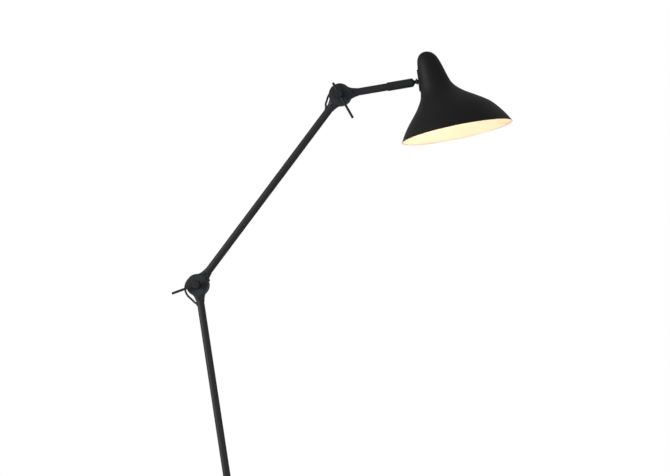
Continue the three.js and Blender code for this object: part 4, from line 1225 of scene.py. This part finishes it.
class LAMP_OT_mount(bpy.types.Operator):
    """Builds the saddle plate on the shade's neck, and the stud nut and bracket behind it"""

    bl_idname = "lamp.mount"
    bl_label = "Shade mount"

    def execute(self, context):
        s, h, c = context.scene.lamp_shade, context.scene.lamp_head, context.scene.lamp_clamps
        self.plate(s, h)
        tab = s.standoff + s.wall + BRACKET_OFF
        back = tab + BRACKET_PLATE
        nut = about_x(hexagon_nut(c.nut + 1 * MM, STUD_NUT, h.stud + GAP)) + [back + GAP, 0, 0]
        piece("stud_nut", surface(in_shade(nut), ring=True), "zinc")
        axis = holder_axis()
        ball_height = s.height - s.ball_drop
        foot = holder_top() + GAP - ball_height
        top = foot + BRACKET_PLATE
        outer, tip = axis + h.stud + 4 * MM, -c.nut - 3.5 * MM
        outline = [[tab, tip], [back, tip], [back, foot], [outer, foot], [outer, top], [tab, top]]
        reach = np.array([0, 0, 1, 0, 0, 2.5]) * MM
        plate = extruded(rounded(outline, reach, 8), -8 * MM, 8 * MM)
        hole = surface(about_x(rod(h.stud + GAP, 0, 2 * axis, HOLE_SIDES)))
        nipple = surface(rod(h.stud + GAP, foot - 1 * MM, top + 1 * MM, HOLE_SIDES) + [axis, 0, 0])
        plate = softened(cut(plate, hole, nipple), 0.25 * MM)
        piece("holder_bracket", transformed(plate, in_shade), "zinc")
        return {"FINISHED"}

    def plate(self, s, h):
        """A plate with round ends that hugs the neck.

        Its outline in y, z is two straight sides and two half circles. Rows run from the stud's hole to
        the outline along straight lines, on the inner face and back on the outer one. x is the neck's:
        axis + shift - sqrt((radius + off)^2 - y^2), off being the distance from the neck's wall.
        """
        half, straight, up = 11 * MM, 15.5 * MM, 1.5 * MM
        side = np.linspace(-straight, straight, 24)
        bend = np.linspace(0, np.pi, 26)[1:-1]
        flat = np.stack([np.full_like(side, half), side], 1)
        end = np.stack([half * np.cos(bend), straight + half * np.sin(bend)], 1)
        outline = np.vstack([flat, end, -flat, -end]) + [0, up]
        hole = (h.stud + GAP) * outline / np.linalg.norm(outline, axis=1)[:, None]
        share = np.linspace(0, 1, 12)
        rows = np.concatenate([share, [1, 0.995, 0.985, 0.965], share[::-1][1:] * 0.93])[:, None]
        rise = np.array([0.75, 0.9, 0.975, 1.0]) * PLATE
        off = np.concatenate([np.zeros(12), rise, np.full(11, PLATE)])[:, None] + GAP
        y = hole[:, 0] + rows * (outline[:, 0] - hole[:, 0])
        z = hole[:, 1] + rows * (outline[:, 1] - hole[:, 1])
        height = z + s.height - s.ball_drop
        x = shade_middle()[0] + shade_shift(height) - np.sqrt((shade_radius(height) + off) ** 2 - y**2)
        piece("mount_plate", surface(in_shade(np.stack([x, y, z], -1)), ring=True), "rubber_black")


def holder_axis():
    """The lampholder's axis, from the ball along the stud."""
    s = bpy.context.scene.lamp_shade
    stud_end = s.standoff + s.wall + (BRACKET_OFF + BRACKET_PLATE + STUD_NUT + THREAD_SHOWING) + GAP
    return stud_end + HOLDER_ROOM + HOLDER_RADIUS


def holder_top():
    """The top of the lampholder above the shade's opening."""
    return bpy.context.scene.lamp_shade.height - HOLDER_DROP


class LAMP_OT_lamp(bpy.types.Operator):
    """Builds the ribbed lampholder and the lit opal bulb in it"""

    bl_idname = "lamp.lamp"
    bl_label = "Lampholder and bulb"

    def execute(self, context):
        s, h = context.scene.lamp_shade, context.scene.lamp_head
        middle = np.array([holder_axis(), 0, -(s.height - s.ball_drop)])
        top = holder_top()
        foot = top - HOLDER_LENGTH
        glass_top = foot + 4 * MM
        cap_top = glass_top + 24 * MM
        bore, outer = 13.8 * MM, HOLDER_RADIUS
        nipple = top + GAP + BRACKET_PLATE + 6 * MM
        outline = [
            [0, cap_top + GAP], [bore, cap_top + GAP], [bore, foot], [outer, foot], [outer, top - SKIRT_DROP],
            [outer - 3 * MM, top - 9 * MM], [outer - 7 * MM, top - 2 * MM], [outer - 9 * MM, top],
            [h.stud, top], [h.stud, nipple], [0, nipple],
        ]
        reach = np.array([0, 0.5, 0.8, 1.2, 3, 2.5, 2, 1, 0, 0.4, 0]) * MM
        points = self.fluted(turned(rounded(outline, reach, 6), 4 * FLUTES), foot, top)
        piece("lampholder", surface(in_shade(points + middle)), "holder_black")

        centre = glass_top - BULB_LENGTH + s.bulb
        neck = 12.6 * MM
        angle = np.radians(np.linspace(-90, 32, 40))
        ball = np.stack([s.bulb * np.cos(angle), centre + s.bulb * np.sin(angle)], 1)
        shoulder = [[neck + 3.4 * MM, foot - 12 * MM], [neck, foot - 2 * MM], [neck, glass_top]]
        knots = np.vstack([ball[-2:], shoulder])
        sweep = through(knots[1:], 10, 0.5, knots[0], [neck, glass_top + 4 * MM])
        outside = np.vstack([ball[:-1], sweep])
        inside = moved_out(outside, -GLASS_WALL)
        inside[0] = [0, outside[0, 1] + GLASS_WALL]
        glass = surface(in_shade(turned(np.vstack([outside, inside[::-1]]), SIDES) + middle))
        piece("bulb_glass", glass, "bulb_glass")
        dress("cap_metal", "bulb_cap")
        return {"FINISHED"}

    def fluted(self, points, foot, top):
        """Cuts shallow flutes into the skirt.

        At the angle t the radius is less by the depth times (0.5 - 0.5 cos nt)^2, n being the number of
        flutes, only where it is the full radius and away from the skirt's two ends.
        """
        radius = np.hypot(points[..., 0], points[..., 1])
        angle = np.arctan2(points[..., 1], points[..., 0])
        height = points[..., 2]
        skirt = (radius > HOLDER_RADIUS - 0.01 * MM) & (height > foot + 1 * MM) & (height < top - SKIRT_DROP)
        depth = FLUTE_DEPTH * (0.5 - 0.5 * np.cos(FLUTES * angle)) ** 2 * skirt
        return points * np.stack([1 - depth / np.maximum(radius, 1 * MM)] * 2 + [np.ones_like(depth)], -1)


class LAMP_OT_foot(bpy.types.Operator):
    """Builds the pressed cover over the weight, the stem, its collar, the felt pad and the cable gland"""

    bl_idname = "lamp.foot"
    bl_label = "Foot"

    def execute(self, context):
        f, t, h = context.scene.lamp_foot, context.scene.lamp_tubes, context.scene.lamp_head
        outside = self.cover_outline(f, h.stud + GAP, 0)
        inside = self.cover_outline(f, h.stud + GAP, f.wall)
        cover = surface(turned(np.vstack([outside, inside[::-1]]), FINE_SIDES), ring=True)
        near, far = f.radius - 20 * MM, f.radius + 20 * MM
        hole = about_y(rod(GLAND_RADIUS + GAP, near, far, HOLE_SIDES)) + f.gland_height * UP
        piece("base_cover", cut(cover, surface(hole)), "tube_black")

        low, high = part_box("base_felt")
        pad = rod(high.x, low.z, high.z, FINE_SIDES, edge=0.8 * MM)
        piece("base_felt", surface(pad), "felt_black")

        low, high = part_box("base_stem")
        stem = rounded_open([[0, low.z], [t.radius, low.z], [t.radius, high.z], [0, high.z]], 0.3 * MM)
        piece("base_stem", surface(turned(stem)), "tube_black")

        low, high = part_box("stem_collar")
        outer, inner = high.x, t.radius + GAP
        collar = [
            [inner, low.z], [outer, low.z], [outer, low.z + 3.7 * MM], [outer - 1.5 * MM, low.z + 6.1 * MM],
            [outer - 4 * MM, high.z], [inner, high.z],
        ]
        reach = np.array([0, 0.4, 1.6, 1.2, 1.0, 0.4]) * MM
        piece("stem_collar", surface(turned(rounded(collar, reach)), ring=True), "hardware_black")

        bore, neck, edge = t.cable + GAP, GLAND_RADIUS, f.radius
        gland = [
            [bore, edge - 8 * MM], [neck, edge - 8 * MM], [neck, edge + 0.5 * MM],
            [neck + 2 * MM, edge + 0.5 * MM], [neck + 1.4 * MM, edge + 3 * MM], [bore, edge + 4 * MM],
        ]
        points = about_y(turned(rounded(gland, 0.4 * MM), HOLE_SIDES)) + f.gland_height * UP
        piece("cable_gland", surface(points, ring=True), "rubber_black")
        dress("cast_iron", "base_weight")
        dress("zinc", "base_nut", "base_stud")
        return {"FINISHED"}

    def cover_outline(self, f, hole, inset):
        """The cover's outline from its hole to its lower edge, moved in by inset.

        The top is crown - (crown - edge) (r / R)^2 up to the shoulder's start R, then a quarter circle of
        the shoulder's radius, then straight down.
        """
        start = f.radius - f.shoulder
        r = np.linspace(hole, start, 24)
        top = np.stack([r, f.crown - (f.crown - f.edge) * (r / start) ** 2 - inset], 1)
        angle = np.radians(np.linspace(90, 0, 16))[1:]
        middle = [start, f.edge - f.shoulder]
        bend = (f.shoulder - inset) * np.stack([np.cos(angle), np.sin(angle)], 1) + middle
        return np.vstack([top, bend, [[f.radius - inset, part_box("base_cover")[0].z]]])


class LAMP_OT_stage(bpy.types.Operator):
    """Sets the pale floor, the soft lights, the white surround and the camera"""

    bl_idname = "lamp.stage"
    bl_label = "Stage"

    def execute(self, context):
        v = context.scene.lamp_stage
        aim = Vector(v.aim)
        self.floor()
        for name, (place, toward, size) in LIGHTS.items():
            self.light(name + "_light", place, toward, size, getattr(v, name))
        self.surround(v.surround)
        camera = bpy.data.cameras.new("camera")
        camera.lens, camera.sensor_width = v.lens, SENSOR
        holder = bpy.data.objects.new("camera", camera)
        context.scene.collection.objects.link(holder)
        across, back = v.distance * math.sin(v.bearing), v.distance * math.cos(v.bearing)
        holder.location = (aim.x + across, aim.y - back, v.eye)
        holder.rotation_euler = (aim - holder.location).to_track_quat("-Z", "Y").to_euler()
        context.scene.camera = holder
        context.scene.view_settings.view_transform = "Standard"
        return {"FINISHED"}

    def floor(self):
        disc = surface(rod(FLOOR_RADIUS, -FLOOR_THICKNESS, 0, FINE_SIDES) + FLOOR_MIDDLE)
        made = bpy.data.objects.new("floor", disc)
        bpy.context.scene.collection.objects.link(made)
        f = Finish("floor_paint")
        clouds = f.noise(0.6, 2)
        f.set(
            Base_Color=f.tint(clouds, (0.8, 0.8, 0.79), (0.84, 0.84, 0.83)),
            Roughness=f.between(clouds, 0.7, 0.85),
        )
        disc.materials.append(f.material)

    def light(self, name, place, aim, size, power):
        data = bpy.data.lights.new(name, "AREA")
        data.shape, data.size, data.energy = "DISK", size, power
        made = bpy.data.objects.new(name, data)
        bpy.context.scene.collection.objects.link(made)
        made.location = place
        made.rotation_euler = (Vector(aim) - Vector(place)).to_track_quat("-Z", "Y").to_euler()

    def surround(self, brightness):
        """White where the camera sees it, and a soft grey for everything that the lamp reflects."""
        world = bpy.data.worlds.new("surround")
        world.use_nodes = True
        tree = world.node_tree
        tree.nodes.clear()
        kinds = ("Background", "Background", "MixShader", "LightPath", "OutputWorld")
        seen, lit, pick, path, output = (tree.nodes.new("ShaderNode" + kind) for kind in kinds)
        seen.inputs["Color"].default_value = (1, 1, 1, 1)
        lit.inputs["Color"].default_value = (brightness, brightness, brightness * 1.02, 1)
        tree.links.new(path.outputs["Is Camera Ray"], pick.inputs[0])
        tree.links.new(lit.outputs[0], pick.inputs[1])
        tree.links.new(seen.outputs[0], pick.inputs[2])
        tree.links.new(pick.outputs[0], output.inputs[0])
        bpy.context.scene.world = world


class LAMP_PT_panel(bpy.types.Panel):
    """Lists the lamp's sizes, its pieces and its stage"""

    bl_idname = "LAMP_PT_panel"
    bl_label = "Adjustable Arm Lamp"
    bl_space_type = "VIEW_3D"
    bl_region_type = "UI"
    bl_category = "Lamp"

    def draw(self, context):
        for name, group, _, operators in GROUPS:
            box = self.layout.box()
            box.label(text=name)
            settings = getattr(context.scene, group)
            for key in settings.bl_rna.properties.keys():
                if key not in ("rna_type", "name"):
                    box.prop(settings, key)
            for operator in operators:
                box.operator(operator.bl_idname)


# Each group of settings: its name in the panel, its name on the scene, its class and the operators it is for.
GROUPS = [
    ("Tubes and cable", "lamp_tubes", LampTubeSizes, [LAMP_OT_tubes, LAMP_OT_grommets, LAMP_OT_cables]),
    ("Knuckles", "lamp_knuckles", LampKnuckleSizes, [LAMP_OT_knuckles, LAMP_OT_set_screws]),
    ("Clamps", "lamp_clamps", LampClampSizes, [LAMP_OT_clamps]),
    ("Head", "lamp_head", LampHeadSizes, [LAMP_OT_head]),
    ("Shade", "lamp_shade", LampShadeSizes, [LAMP_OT_shade, LAMP_OT_mount, LAMP_OT_lamp]),
    ("Foot", "lamp_foot", LampFootSizes, [LAMP_OT_foot]),
    ("Colours", "lamp_colours", LampColours, []),
    ("Stage", "lamp_stage", LampStageSizes, [LAMP_OT_stage]),
]
CLASSES = [cls for _, _, sizes, operators in GROUPS for cls in (sizes, *operators)] + [LAMP_PT_panel]


def register():
    for cls in CLASSES:
        bpy.utils.register_class(cls)
    for _, group, sizes, _ in GROUPS:
        setattr(bpy.types.Scene, group, PointerProperty(type=sizes))


def unregister():
    for _, group, _, _ in GROUPS:
        delattr(bpy.types.Scene, group)
    for cls in reversed(CLASSES):
        bpy.utils.unregister_class(cls)


def main():
    """Registers the add-on and builds the lamp and its stage."""
    register()
    bpy.ops.lamp.foot()
    bpy.ops.lamp.tubes()
    bpy.ops.lamp.knuckles()
    bpy.ops.lamp.set_screws()
    bpy.ops.lamp.grommets()
    bpy.ops.lamp.clamps()
    bpy.ops.lamp.cables()
    bpy.ops.lamp.head()
    bpy.ops.lamp.shade()
    bpy.ops.lamp.mount()
    bpy.ops.lamp.lamp()
    bpy.ops.lamp.stage()


if __name__ == "__main__":
    main()
